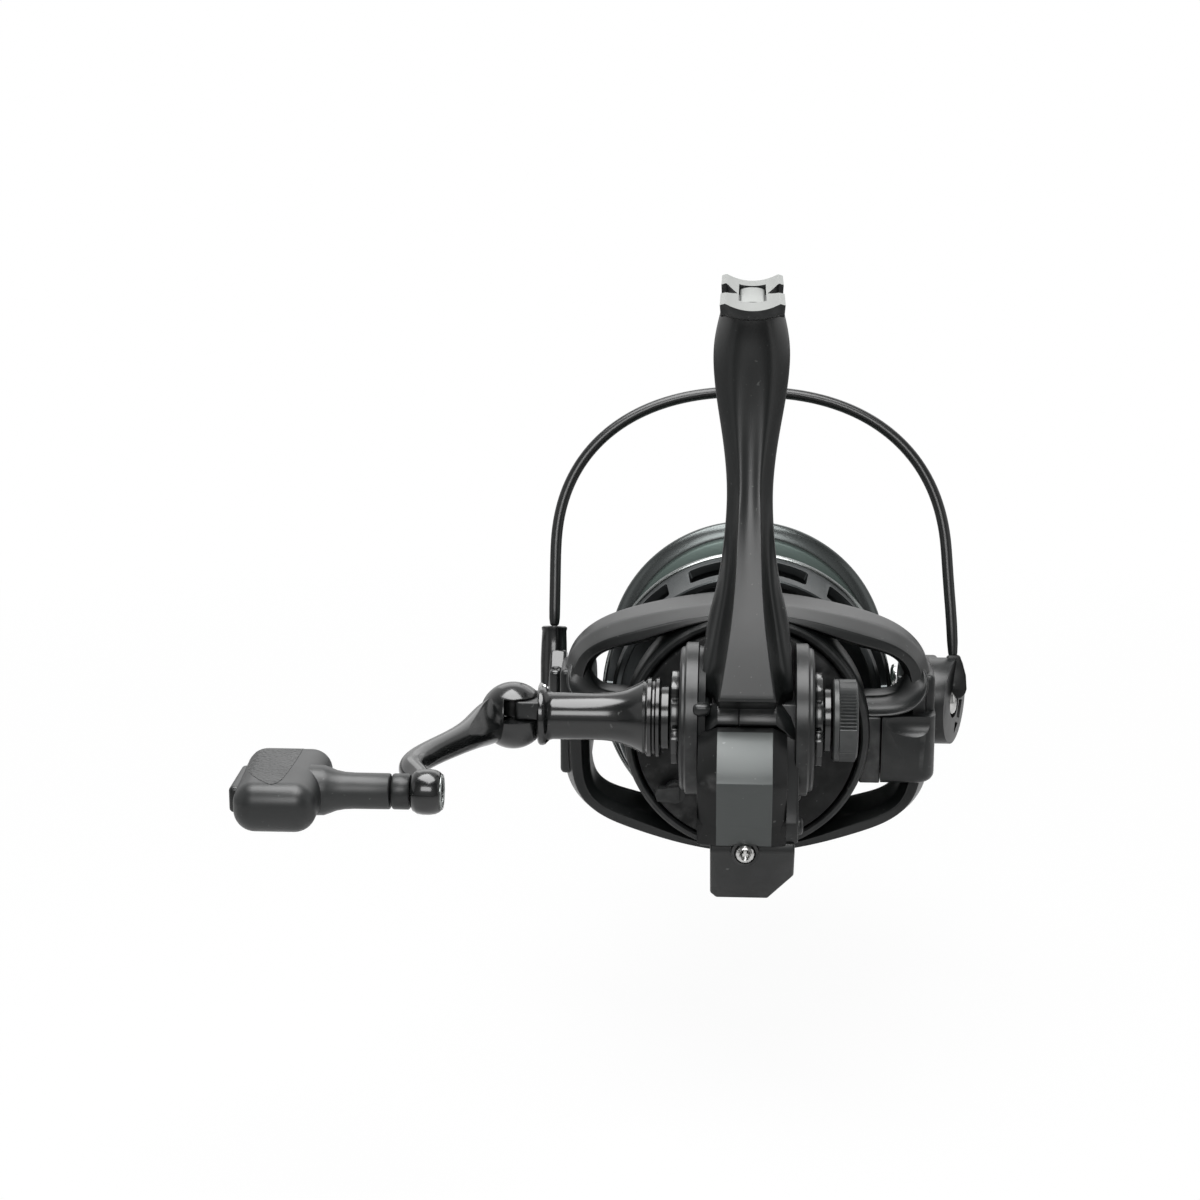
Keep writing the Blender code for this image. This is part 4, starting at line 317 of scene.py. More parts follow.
# %% Finish maker
def finish(name, colour, cloud_colour, rough, metallic=0.0, coat=0.0, grain_size=0.3, relief=0.02,
           dust=0.15, edge=(0.12, 0.12, 0.12), rub=0.25, lathe=0.0, pebble=0.0, shine=0.5):
    """A procedural finish: sizes in millimetres, relief as the depth of its grain."""
    mat = bpy.data.materials.new(name)
    mat.use_nodes = True
    tree = mat.node_tree
    place = add(tree, "TexCoord", {}).outputs["Object"]
    look = {"Vector": place, "Colour": (*colour, 1), "Cloud": (*cloud_colour, 1), "Dust": dust,
            "Roughness Low": rough[0], "Roughness High": rough[1], "Grain Scale": 1 / (grain_size * MM)}
    skin = add(tree, "Group", look, node_tree=skin_group).outputs
    rubbed = add(tree, "Group", {"Vector": place, "Amount": rub}, node_tree=rub_group).outputs["Mask"]
    under = {}
    if lathe:
        lines = add(tree, "Group", {"Vector": place}, node_tree=lathe_group).outputs["Height"]
        under = {"Normal": raised(tree, lines, lathe, 0.35, {})}
    if pebble:
        size = {"Vector": place, "Scale": 1 / (pebble * MM)}
        cells = add(tree, "TexVoronoi", size, feature="SMOOTH_F1")
        under = {"Normal": raised(tree, cells.outputs["Distance"], pebble * 0.4, 0.9, {})}
    shader = tree.nodes["Principled BSDF"]
    for title, source in (
        ("Metallic", metallic),
        ("Specular IOR Level", shine),
        ("Coat Weight", coat),
        ("Coat Roughness", 0.08),
        ("Base Color", mixed(tree, rubbed, skin["Colour"], (*edge, 1))),
        ("Roughness", skin["Roughness"]),
        ("Normal", raised(tree, skin["Height"], relief, 0.5, under)),
    ):
        feed(tree, shader.inputs[title], source)
    return mat


# %% The blacks
SATIN = finish("satin_black_paint", (0.0045, 0.0052, 0.0052), (0.006, 0.0068, 0.0068), (0.30, 0.36),
               relief=0.008, shine=0.4)
# A darker copy of the satin paint with little shine: painted shade, laid on chamfers, hollows and ends that lie in
# shade.
PAINTED_SHADE = finish("satin_black_painted_shade", (0.0025, 0.0028, 0.0028), (0.0035, 0.0038, 0.0038), (0.34, 0.42),
               relief=0.006, shine=0.18)
GLOSS = finish("gloss_black_paint", (0.003, 0.0034, 0.0034), (0.004, 0.0045, 0.0045), (0.17, 0.22),
               coat=0.2, relief=0.003, rub=0.1)
NYLON = finish("moulded_nylon", (0.0045, 0.0052, 0.0052), (0.006, 0.0068, 0.0068), (0.32, 0.40),
               relief=0.01, shine=0.4)
RUBBER = finish("soft_rubber", (0.008, 0.009, 0.009), (0.010, 0.011, 0.011), (0.36, 0.44),
                relief=0.014, grain_size=0.22, rub=0.1)
RIBBED = finish("ribbed_nylon", (0.022, 0.024, 0.024), (0.026, 0.028, 0.028), (0.34, 0.42), relief=0.01)
PEBBLED = finish("pebbled_rubber", (0.009, 0.010, 0.010), (0.012, 0.013, 0.013), (0.36, 0.44),
                 relief=0.02, rub=0.0, pebble=0.75)
WIRE = finish("wire_coating", (0.004, 0.0046, 0.0046), (0.005, 0.0056, 0.0056), (0.28, 0.29),
              relief=0.0005, dust=0.0, rub=0.0)

# %% The metals and the felt
GUNMETAL = finish("gunmetal_paint", (0.048, 0.053, 0.052), (0.056, 0.061, 0.060), (0.40, 0.46), 0.4,
                  relief=0.012, grain_size=0.14)
ANODISED = finish("dark_anodised", (0.050, 0.055, 0.056), (0.060, 0.065, 0.066), (0.28, 0.34), 0.9,
                  lathe=0.01, relief=0.004)
GREEN_GREY = finish("green_grey_anodised", (0.080, 0.106, 0.097), (0.092, 0.118, 0.108), (0.34, 0.42),
                    0.8, lathe=0.01, relief=0.004)
LIP_BLACK = finish("lip_anodised", (0.080, 0.088, 0.087), (0.090, 0.098, 0.097), (0.26, 0.28), 0.9,
                   lathe=0.003, relief=0.001)
BARE = finish("sanded_aluminium", (0.130, 0.140, 0.130), (0.160, 0.170, 0.158), (0.26, 0.34), 0.5,
              relief=0.02, edge=(0.2, 0.2, 0.2))
PALE = finish("pale_insert", (0.175, 0.186, 0.175), (0.205, 0.216, 0.205), (0.30, 0.38), 0.5,
              relief=0.02, edge=(0.25, 0.25, 0.25))
RIM_METAL = finish("polished_rim", (0.22, 0.235, 0.23), (0.27, 0.285, 0.28), (0.2, 0.28), 1.0,
                   relief=0.002, rub=0.0)
STEEL = finish("bright_steel", (0.46, 0.46, 0.45), (0.54, 0.54, 0.53), (0.16, 0.24), 1.0,
               relief=0.004, edge=(0.75, 0.75, 0.75))
BRONZE = finish("gear_bronze", (0.50, 0.36, 0.17), (0.58, 0.43, 0.21), (0.28, 0.4), 1.0, relief=0.01,
                edge=(0.6, 0.5, 0.3))
FELT = finish("drag_felt", (0.14, 0.12, 0.09), (0.19, 0.16, 0.12), (0.9, 1.0), relief=0.15,
              grain_size=0.15, rub=0.0)
print("finishes", len([mat for mat in bpy.data.materials if mat.use_nodes]))

# %% [markdown]
# ## Tools for shaping
# A few ways of making a shape cover the whole reel. A turned piece spins its profile round an axis.
# A skin bridges loops that lie one behind another. A slab pushes an outline through its thickness.
# A carved piece takes one mesh out of another, and a smoothed one rounds a coarse cage. Edges are
# then rounded with a small bevel, because no moulded or machined edge is perfectly sharp, and its
# highlight is what draws the form.

# %% Turning, skinning and pushing
ALONG = {
    "X": Matrix.Rotation(math.radians(90), 4, "Y"),
    "Y": Matrix.Rotation(math.radians(-90), 4, "X"),
    "Z": Matrix(),
}
ACROSS = {
    "X": Matrix(((0, 0, 1, 0), (1, 0, 0, 0), (0, 1, 0, 0), (0, 0, 0, 1))),
    "Y": Matrix(((1, 0, 0, 0), (0, 0, 1, 0), (0, 1, 0, 0), (0, 0, 0, 1))),
    "Z": Matrix(),
}
CLOSE = 1e-4  # points nearer than this are one
SIDES = ((-1, "left"), (1, "right"))


def chain(bm, points, closed):
    """Points joined by edges, in order."""
    verts = [bm.verts.new(point) for point in points]
    pairs = list(zip(verts, verts[1:])) + ([(verts[-1], verts[0])] if closed else [])
    return verts, [bm.edges.new(pair) for pair in pairs]


def turned(profile, axis="Y", centre=(0, 0, 0), steps=96):
    """A profile of (place along the axis, radius) spun all the way round."""
    bm = bmesh.new()
    hollow = min(radius for _, radius in profile) > 0
    verts, edges = chain(bm, [(radius, 0, place) for place, radius in profile], hollow)
    bmesh.ops.spin(bm, geom=verts + edges, cent=(0, 0, 0), axis=(0, 0, 1), angle=2 * math.pi, steps=steps,
                   use_merge=True)
    bmesh.ops.remove_doubles(bm, verts=bm.verts, dist=CLOSE)
    bmesh.ops.transform(bm, matrix=Matrix.Translation(centre) @ ALONG[axis], verts=bm.verts)
    return bm


def skinned(rings, ring_closed=False):
    """Loops bridged in order, and capped unless the last meets the first again."""
    bm = bmesh.new()
    loops = [chain(bm, ring, True) for ring in rings]
    following = loops[1:] + (loops[:1] if ring_closed else [])
    for (_, near), (_, far) in zip(loops, following):
        bmesh.ops.bridge_loops(bm, edges=near + far)
    if not ring_closed:
        for _, edges in (loops[0], loops[-1]):
            bmesh.ops.edgeloop_fill(bm, edges=edges)
    return bm, [verts for verts, _ in loops]


def slab(outline, low, high, axis):
    """An outline pushed from one place along the axis to another."""
    bm = bmesh.new()
    _, edges = chain(bm, [(u, v, low) for u, v in outline], True)
    face = bmesh.ops.edgeloop_fill(bm, edges=edges)["faces"]
    grown = bmesh.ops.extrude_face_region(bm, geom=face)
    top = [item for item in grown["geom"] if isinstance(item, bmesh.types.BMVert)]
    bmesh.ops.translate(bm, vec=(0, 0, high - low), verts=top)
    bmesh.ops.transform(bm, matrix=ACROSS[axis], verts=bm.verts)
    return bm


def rod(start, end, radius, axis, centre=(0, 0, 0), steps=96, bore=0.01):
    """A plain cylinder along an axis, or a sleeve where it has a bore."""
    return turned([(start, bore), (start, radius), (end, radius), (end, bore)], axis, centre, steps)


def box(low, high):
    """A block between two corners."""
    bm = bmesh.new()
    size = [b - a for a, b in zip(low, high)]
    middle = [(a + b) / 2 for a, b in zip(low, high)]
    bmesh.ops.create_cube(bm, size=1, matrix=Matrix.Translation(middle) @ Matrix.Diagonal((*size, 1)))
    return bm


def arc(centre, radius, start, end, count):
    """Points along a circle, with angles in degrees."""
    for step in range(count + 1):
        angle = math.radians(start + (end - start) * step / count)
        yield (centre[0] + radius * math.cos(angle), centre[1] + radius * math.sin(angle))


# %% Rounding, joining and carving
def tidy(bm):
    """Merged doubles and faces that point outwards."""
    bmesh.ops.remove_doubles(bm, verts=bm.verts, dist=CLOSE)
    bmesh.ops.recalc_face_normals(bm, faces=bm.faces)
    return bm


def bevelled(bm, edges, width, segments, clamp=False):
    """Chosen edges, bevelled round."""
    bmesh.ops.bevel(bm, geom=edges, offset=width, offset_type="OFFSET", segments=segments, profile=0.5,
                    affect="EDGES", material=-1, clamp_overlap=clamp)


def rounded(bm, width, segments=3, angle=25.0):
    """Every edge sharper than the angle, bevelled round."""
    limit = math.radians(angle)
    sharp = [edge for edge in tidy(bm).edges if edge.is_manifold and edge.calc_face_angle(0) > limit]
    bevelled(bm, sharp, width, segments, True)
    return bm


def joined(bm, *others):
    """Other shapes put into the same mesh."""
    for other in others:
        mesh = bpy.data.meshes.new("part")
        other.to_mesh(mesh)
        other.free()
        bm.from_mesh(mesh)
        bpy.data.meshes.remove(mesh)
    return bm


def set_down(bm, name):
    """The shape as a passing object in the scene."""
    obj = bpy.data.objects.new(name, bpy.data.meshes.new(name))
    tidy(bm).to_mesh(obj.data)
    bm.free()
    bpy.context.scene.collection.objects.link(obj)
    return obj


def picked_up(obj):
    """The object's shape with its modifiers applied. The object goes."""
    bpy.context.view_layer.update()
    mesh = bpy.data.meshes.new_from_object(obj.evaluated_get(bpy.context.evaluated_depsgraph_get()))
    bm = bmesh.new()
    bm.from_mesh(mesh)
    bpy.data.objects.remove(obj)
    bpy.data.meshes.remove(mesh)
    return bm


def carved(bm, *cutters):
    """The cutters' space taken out of the shape with exact Booleans."""
    target = set_down(bm, "carved")
    tools = [set_down(cutter, "cutter") for cutter in cutters]
    for tool in tools:
        step = target.modifiers.new("carve", "BOOLEAN")
        step.operation = "DIFFERENCE"
        step.solver = "EXACT"
        step.object = tool
    result = picked_up(target)
    for tool in tools:
        bpy.data.objects.remove(tool)
    return result


def smoothed(bm, levels):
    """A coarse cage rounded by subdivision."""
    cage = set_down(bm, "cage")
    step = cage.modifiers.new("subdivision", "SUBSURF")
    step.levels = step.render_levels = levels
    return picked_up(cage)


# %% [markdown]
# A finished piece stands for a node of the frame, which it hides. It rides on the body that carries the
# node, and it takes the finish it is given.

# %% Finished pieces
BODY_OF = {node: body for body, nodes in frame["record"]["behaviour"]["bodies"].items() for node in nodes}
SLOT_OF = {part["node"]: part["material_slot"] for part in frame["record"]["subparts"]}


def piece(name, bm, node, material, smooth=32, subdivide=0):
    """The finished mesh as an object in the frame, in place of a node."""
    tidy(bm)
    bmesh.ops.transform(bm, matrix=TO_WORLD, verts=bm.verts)
    mesh = bpy.data.meshes.new(name)
    bm.to_mesh(mesh)
    bm.free()
    mesh.shade_smooth()
    mesh.set_sharp_from_angle(angle=math.radians(smooth))
    for entry in material if isinstance(material, list) else [material]:
        mesh.materials.append(entry)
    obj = bpy.data.objects.new(name, mesh)
    bpy.context.scene.collection.objects.link(obj)
    if subdivide:
        smoothing = obj.modifiers.new("subdivision", "SUBSURF")
        smoothing.levels = smoothing.render_levels = subdivide
    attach(obj, BODY_OF[node])
    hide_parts(node)
    print(name, len(mesh.polygons), "faces")


# %% [markdown]
# ## Stem
# The stem is a casting that swells under the foot, thins to a waist and spreads again into a flat
# ridge with hollow flanks where it meets the gear case. Sections at different heights are bridged
# into a coarse cage and subdivided. The ridge's edges are creased at the bottom and fade out
# towards the waist, which gives the crisp panel below and the smooth swelling above. At the waist
# the ridge dips a little along its middle, so that it carries two soft highlights.

# %% Stem
# height, half width, rear, front, half width of the ridge, hollow beside it, dip along its middle
# and roundness
STEM = (
    (15, 10.3, -33.6, 0, 6.2, 0.8, 0, 0),
    (17.6, 10.7, -34.9, 0, 6.5, 1.6, 0, 0),
    (19.5, 10.9, -37.7, -0.5, 6.6, 3.4, 0, 0),
    (20.2, 10.9, -37.8, -0.6, 6.5, 3.6, 0, 0),
    (28, 10.3, -35.2, -4.5, 5.2, 4.2, 0, 0),
    (36, 9.4, -32.4, -7, 4, 4, 0, 0),
    (41.5, 7.6, -30.5, -8.3, 3.4, 3.2, 0.1, 0),
    (49, 6.3, -28, -9.3, 2.9, 2.4, 0.3, 0.1),
    (57, 5.5, -25.5, -9.3, 2.7, 1.5, 0.7, 0.3),
    (65, 5.2, -23.2, -8.2, 2.5, 0.5, 1.1, 0.6),
    (75, 6.3, -20.8, -5.6, 2.8, 0, 1.3, 0.9),
    (85, 8.3, -19, -2.2, 3.4, 0, 0.9, 1),
    (94, 9.2, -18, 1.6, 3.8, 0, 0.1, 1),
    (99.5, 8.5, -17.4, 5, 3.5, 0, 0, 1),
    (103.6, 7.4, -17.6, 8.5, 3.1, 0, 0, 1),
    (105.6, 7, -18.6, 9.5, 2.9, 0, 0, 1),
)
CREASED_BELOW = 62.0
RIDGE_ROWS = (2, 4, 11, 13)  # the ridge's and the flanks' edges in a section


def stem_ring(height, half, rear, front, ridge, hollow, dip, soft):
    """A section of the stem: ridge, hollow, flank and rounded front, mirrored."""
    depth = front - rear
    side = [
        (0.6 * ridge, rear + 0.4 * dip + 0.013 * soft * depth),
        (ridge, rear + 0.037 * soft * depth),
        (ridge + 0.32 * (half - ridge), rear + (0.12 - 0.035 * soft) * depth + hollow),
        (half * 0.97, rear + (0.24 + 0.075 * soft) * depth),
        (half, rear + 0.42 * depth),
        (half * 0.88, rear + 0.72 * depth),
        (half * 0.5, front),
    ]
    points = [(0, rear + dip)] + side + [(-x, y) for x, y in reversed(side)]
    return [(x, y, height) for x, y in points]


stem, stem_rows = skinned([stem_ring(*station) for station in STEM])
tidy(stem)
crease = stem.edges.layers.float.new("crease_edge")
for low_row, high_row in zip(stem_rows, stem_rows[1:]):
    for index in RIDGE_ROWS:
        edge = stem.edges.get((low_row[index], high_row[index]))
        height = low_row[index].co.z
        if edge and height < CREASED_BELOW:
            edge[crease] = (1 - height / CREASED_BELOW) ** 0.35
for row in (stem_rows[0], stem_rows[2], stem_rows[3], stem_rows[-1]):
    for start, end in zip(row, row[1:] + row[:1]):
        stem.edges.get((start, end))[crease] = 0.75
piece("stem_casting", stem, "body_frame", SATIN, 60, 3)

# %% [markdown]
# Under the ridge lies a rounded band that leads into the case. The frame and the side cover meet in
# it, so it is made as two skins with a fine seam between them. Both fall away to the sides.

# %% Band under the stem
BAND = [(-29, 18.6), (-33.9, 17.8), (-35.6, 16.4), (-36.5, 14.9), (-36.7, 14), (-36.4, 13.5),
        (-29, 13.5)]
BAND_SEAM = -1.8
SEAM_HALF = 0.07


def band_ring(x, drop, inset):
    """The band's outline at a place across it, lower and further in towards the sides."""
    return [(x, y + inset, z - drop) for y, z in BAND]


left_ends = ((-11.4, 4.6, 2.6), (-6.7, 0, 0), (BAND_SEAM - SEAM_HALF, 0, 0))
right_ends = ((BAND_SEAM + SEAM_HALF, 0, 0), (6.7, 0, 0), (11.4, 4.6, 2.6))
left_band, _ = skinned([band_ring(*place) for place in left_ends])
right_band, _ = skinned([band_ring(*place) for place in right_ends])
piece("band_left", rounded(left_band, 0.12, 2), "body_frame", SATIN)
piece("band_right", rounded(right_band, 0.12, 2), "side_cover", SATIN)
case_step = rounded(box((-12.3, -36.4, 15.4), (-8.4, -28, 18.2)), 1.1, 4)
piece("case_step", case_step, "body_frame", SATIN, 60)

# %% [markdown]
# ## Foot
# The foot is the saddle that a rod seat clamps. Its top is bare sanded metal, cut by a window and by
# a notch from each side, and its edges keep the black paint. It is a skin of saddle-shaped sections
# with the window and the notches carved out. Faces that look up at the saddle's own height take the
# bare finish, and all others stay painted.

# %% Foot
FOOT_TOP = shaft_mm((0, 0, 0)).z
FOOT_HALF = 7.3
FOOT_REAR, FOOT_FRONT = -28.0, 26.0
SAG = 2.4  # how far the middle lies under the sides
HORN = 6.1  # outside this the saddle's edge falls away again
HORN_FALL = 0.3
saddle_radius = (FOOT_HALF**2 + SAG**2) / (2 * SAG)


def saddle(x):
    """Height of the hollow top at a distance from its middle."""
    inside = min(abs(x), HORN)
    rise = saddle_radius - math.sqrt(saddle_radius**2 - inside**2)
    return FOOT_TOP + rise - HORN_FALL * (abs(x) - inside)


def foot_ring(y, thick, half):
    """A section across the foot: the saddle above and the same curve below, less deep."""
    places = [half * step / 14 for step in range(-14, 15)]
    top = [(x, y, saddle(x)) for x in places]
    low = [(0.97 * x, y, FOOT_TOP - thick + 0.7 * (saddle(x) - FOOT_TOP)) for x in reversed(places)]
    return top + low


FOOT_STATIONS = ((FOOT_REAR, 1.9, 7.2), (FOOT_REAR + 0.8, 2.1, FOOT_HALF), (-14, 4.2, FOOT_HALF),
                 (11, 4.4, FOOT_HALF), (FOOT_FRONT - 0.8, 2.1, FOOT_HALF), (FOOT_FRONT, 1.9, 7.2))
foot, _ = skinned([foot_ring(*station) for station in FOOT_STATIONS])
WINDOW_HALF, WINDOW_REAR, WINDOW_FRONT = 3.15, -13.6, 16.0
window = [(-WINDOW_HALF, WINDOW_REAR), (WINDOW_HALF, WINDOW_REAR), (WINDOW_HALF, WINDOW_FRONT),
          (-WINDOW_HALF, WINDOW_FRONT)]
NOTCH_HALF, NOTCH_TIP, NOTCH_DEEP = 8.3, 3.45, 0.9
foot_cuts = [slab(window, FOOT_TOP - 2.9, FOOT_TOP + 4, "Z")]
for side in (-1, 1):
    notch = [(side * 9, -NOTCH_HALF), (side * 9, NOTCH_HALF), (side * HORN, NOTCH_HALF),
             (side * NOTCH_TIP, -1.4), (side * HORN, -NOTCH_HALF)]
    foot_cuts.append(slab(notch, FOOT_TOP - NOTCH_DEEP, FOOT_TOP + 4.1, "Z"))
foot = carved(foot, *foot_cuts)
foot.normal_update()
for face in foot.faces:
    middle = face.calc_center_median()
    face.material_index = int(face.normal.z > 0.5 and middle.z > saddle(middle.x) - 0.25)
piece("foot_plate", foot, "body_frame", [SATIN, BARE], 20)

# %% Half-barrel
BARREL_HALF, BARREL_RISE = 2.9, 0.8
barrel = [(BARREL_HALF, FOOT_TOP - 3.0)]
for u, v in arc((0, 0), BARREL_HALF, 0, 180, 24):
    barrel.append((u, FOOT_TOP - 0.85 + v * BARREL_RISE / BARREL_HALF))
barrel += [(-BARREL_HALF, FOOT_TOP - 3.0)]
half_barrel = rounded(slab(barrel, -12.2, 14.2, "Y"), 0.5, 3)
# Faces at the barrel's ends take painted shade, the rest the pale insert finish.
for face in half_barrel.faces:
    face.material_index = int(abs(face.normal.y) > 0.6)
piece("foot_barrel", half_barrel, "foot_insert", [PALE, PAINTED_SHADE])

# %% [markdown]
# ## Gear case
# Behind the rotor sits the case: a casting on the left, a side cover on the right and a keel below,
# with a round boss on each side for the crank. They are outlines pushed sideways, with the bosses
# turned on the crank's axis, because that is how the real pieces are machined after casting. The
# flange that closes the rotor is turned on the shaft. The side cover is two blocks, and the narrow
# one reaches further back, so the case stays closed behind the guard.

# %% Case, keel, bosses and flange
CASE = [(0.5, 17), (-30.5, 17), (-32.8, 13.2), (-34.6, 10.2), (-42.4, 4.2), (-42.4, -8), (-39, -14.5),
        (0.5, -14.5)]
SHUT_FRONT = -3.3  # the side cover ends behind the flange
left_case = rounded(slab(CASE, -10.3, -2.4, "X"), 0.5)
piece("case_left", left_case, "body_frame", SATIN)


def keel_ring(x, low, rake):
    """The keel's outline at a place across it."""
    return [(x, 0.5, -13.5), (x, -39.5, -13.5), (x, -40, -15.5), (x, -28 - rake, low),
            (x, -9, low + 0.8), (x, -2, low * 0.8), (x, 0.5, low * 0.75)]


KEEL = ((-8, -29.4, 1.2), (-6.6, -31, 0), (5.4, -31, 0), (11.3, -23.4, 5))
keel, _ = skinned([keel_ring(*place) for place in KEEL])
piece("keel_casting", rounded(keel, 0.45), "body_frame", SATIN)

BOSS = [(9.5, 0.01), (9.5, 16.6), (11, 17), (11.3, 17.75), (13.9, 17.75), (14.2, 17.5), (14.2, 16.9),
        (14.4, 16.7), (14.9, 16.7), (15.3, 16.4), (15.5, 15.9), (15.5, 8.4), (14.6, 8.3),
        (14.6, 0.01)]
left_boss = turned([(-x, r) for x, r in BOSS], "X", CRANK)
piece("boss_left", left_boss, "body_frame", SATIN, 25)
FLANGE = [(-1, 0.01), (-1, 26.2), (-0.8, 26.6), (-0.4, 26.8), (1.6, 26.9), (2, 26.5), (2, 12.5),
          (9.2, 12.4), (9.2, 0.01)]
# The flange inside the rotor is painted shade.
piece("front_flange", turned(FLANGE, "Y"), "body_frame", PAINTED_SHADE)

RIGHT_CASE = [(SHUT_FRONT, 17), (-30.5, 17), (-32.8, 13.2), (-34.2, 10.2), (-35.4, 5), (-36.8, -6),
              (-38.4, -9), (-38.4, -13.7), (SHUT_FRONT, -13.7)]
inner_case = slab([(min(y, SHUT_FRONT), max(z, -13.7)) for y, z in CASE], -2.1, 9.0, "X")
right_case = joined(slab(RIGHT_CASE, -2.1, 12.0, "X"), inner_case)
piece("case_right", rounded(right_case, 0.5), "side_cover", SATIN)
right_boss = turned([(11.0, 0.01), (11.0, 17.2)] + BOSS[3:], "X", CRANK)
piece("boss_right", right_boss, "side_cover", SATIN, 25)

# %% [markdown]
# ## Rear cover and screws
# The guard over the back has a light metallic panel down its middle, and its chamfers at the sides are painted
# shade.
# The panel bulges, folds over a soft crease and falls away hollow below it, so a curved outline is
# bridged across the width, and the panel's faces take a second material. Screw heads get a real
# cross recess: a plus-shaped loop is bridged to the head's rim and pushed in.

# %% Rear cover
INNER = [(-40.1, -13.6), (-43.0, -8.1), (-43.0, 4.3), (-35.4, 11.0)]
CROWN = [(-36.6, 13.2), (-39, 12.8), (-42.2, 11.4), (-45.4, 8.8), (-47.8, 6.3), (-49, 4.8),
         (-49.5, 3.9), (-49.4, 2.8), (-48.6, 0.8), (-47.2, -2.4), (-44.6, -7.8), (-41.3, -13.5)]
EDGE = [(-35.3, 11.2), (-37.4, 10.6), (-40, 9), (-42.8, 6.6), (-45, 4.6), (-45.8, 3.6), (-46.1, 2.8),
        (-46, 1.6), (-45.3, -0.6), (-44.3, -3), (-42.5, -7.6), (-40.6, -13.3)]
PANEL = (-6.6, 5.9)  # the panel's sides
GUARD = (-11.0, 9.2)  # the chamfers' outer sides
ACROSS_GUARD = ((GUARD[0], EDGE), (PANEL[0], CROWN), (PANEL[1], CROWN), (GUARD[1], EDGE))
cover, _ = skinned([[(x, y, z) for y, z in outline + INNER] for x, outline in ACROSS_GUARD])
rounded(cover, 0.3, 3, 24)
# Faces outside the panel's rear face take painted shade: the chamfers and the edges.
for face in cover.faces:
    middle = face.calc_center_median()
    face.material_index = int(PANEL[0] < middle.x < PANEL[1] and face.normal.y < -0.2)
piece("rear_guard", cover, "rear_cover", [PAINTED_SHADE, GUNMETAL], 40)


# %% Screws
def screw_head(centre, axis, direction, radius, height, recess, steps=12):
    """A pan head whose cross recess is bridged to its crown and pushed in."""
    dome = [(0, 0.01), (0, radius), (height * 0.4, radius), (height * 0.8, radius * 0.86),
            (height, radius * 0.6)]
    bm = turned([(direction * place, r) for place, r in dome], "Z", steps=steps)
    rim = [edge for edge in bm.edges if edge.is_boundary]
    wide, thin = radius * 0.5, radius * 0.15
    quarter = [(wide, -thin), (wide, thin), (thin, thin)]
    points = []
    for turn in range(4):
        spin = Matrix.Rotation(math.pi / 2 * turn, 2)
        points += [(*(spin @ Vector(point)), direction * height) for point in quarter]
    _, cross = chain(bm, points, True)
    bmesh.ops.bridge_loops(bm, edges=rim + cross)
    bottom = bmesh.ops.edgeloop_fill(bm, edges=cross)["faces"]
    sunk = bmesh.ops.extrude_discrete_faces(bm, faces=bottom)["faces"]
    bmesh.ops.translate(bm, vec=(0, 0, -direction * recess), verts=sunk[0].verts)
    bmesh.ops.transform(bm, matrix=Matrix.Translation(centre) @ ALONG[axis], verts=bm.verts)
    return bm


COVER_SCREW = (0, -41.3, -15.2)
guard_screw = screw_head(COVER_SCREW, "Y", -1, 2.25, 1.3, 0.7)
piece("guard_screw", guard_screw, "rear_cover_screw", STEEL, 40)
SOCKET = [(-41.6, 2.45), (-41.6, 3.1), (-38.5, 3.4), (-38.5, 2.45)]
socket = turned(SOCKET, "Y", (0, 0, COVER_SCREW[2]), 48)
piece("screw_socket", socket, "body_frame", SATIN)
for number, (y, z) in enumerate(((-34, -11), (-9.5, -11)), 1):
    head = screw_head((12.1, y, z), "X", 1, 2.1, 1.1, 0.7)
    piece(f"side_screw_{number}", head, f"side_cover_screw_{number}", SATIN, 40)


# %% Bearing retainers
def scalloped(radius, depth, count, points=96):
    """A round outline with evenly spaced scallops."""
    for step in range(points):
        angle = 2 * math.pi * step / points
        wave = max(0.0, math.cos(count * angle)) ** 2
        yield ((radius - depth * wave) * math.cos(angle), (radius - depth * wave) * math.sin(angle))


for side, word in SIDES:
    outline = [(CRANK.y + u, CRANK.z + v) for u, v in scalloped(11.0, 1.8, 8)]
    low, high = sorted((side * 15.8, side * 17.4))
    bore = rod(low - 2, high + 2, 4.8, "X", CRANK, 48)
    ring = carved(slab(outline, low, high, "X"), bore)
    piece(f"retainer_{word}", rounded(ring, 0.25, 2), f"bearing_retainer_{word}", GLOSS)

# %% [markdown]
# ## Handle
# The shank is turned: a grooved collar, a trumpet and a plain tube with a rim. Its flat tang sits in
# a slot of the ball, where the arm folds on a pin. The arm is a tapering bar that bows outwards and
# hooks back into an eye, so it is a skin of round sections along a curve. One flat facet is cut
# on it beside the ball. Its plane leans a little, so the cut runs out where the bar gets thin.

# %% Shank and tang
FLARE = (0, 0.1, 0.2, 0.3, 0.42, 0.55, 0.7, 0.85, 1)
TRUMPET = [(24.1 + t * 11.4, 5.5 + 3.2 * (1 - t) ** 2.4) for t in FLARE]
SHANK = [(18, 0.01), (18, 7.2), (18.2, 7.5), (19.7, 7.5), (19.9, 8.9), (20.3, 9.4), (21, 9.4),
         (21.4, 8.8), (21.8, 8.8), (22.2, 9.4), (23, 9.3), (23.5, 8.6), *TRUMPET, (45.2, 5.5),
         (46, 5.7), (46.6, 6.3), (47, 6.75), (47.5, 6.95), (48.2, 6.9), (48.6, 6.5), (48.6, 0.01)]
shank = turned([(-x, r) for x, r in SHANK], "X", (0, CRANK.y, CRANK.z))
piece("shank", shank, "handle_shank", GLOSS, 40)
TANG_LOW, TANG_HIGH = FOLD.z + 0.6, FOLD.z + 4.9
TANG_NEAR, TANG_FAR, TANG_ROUND = 5.9, 4.6, 3.0
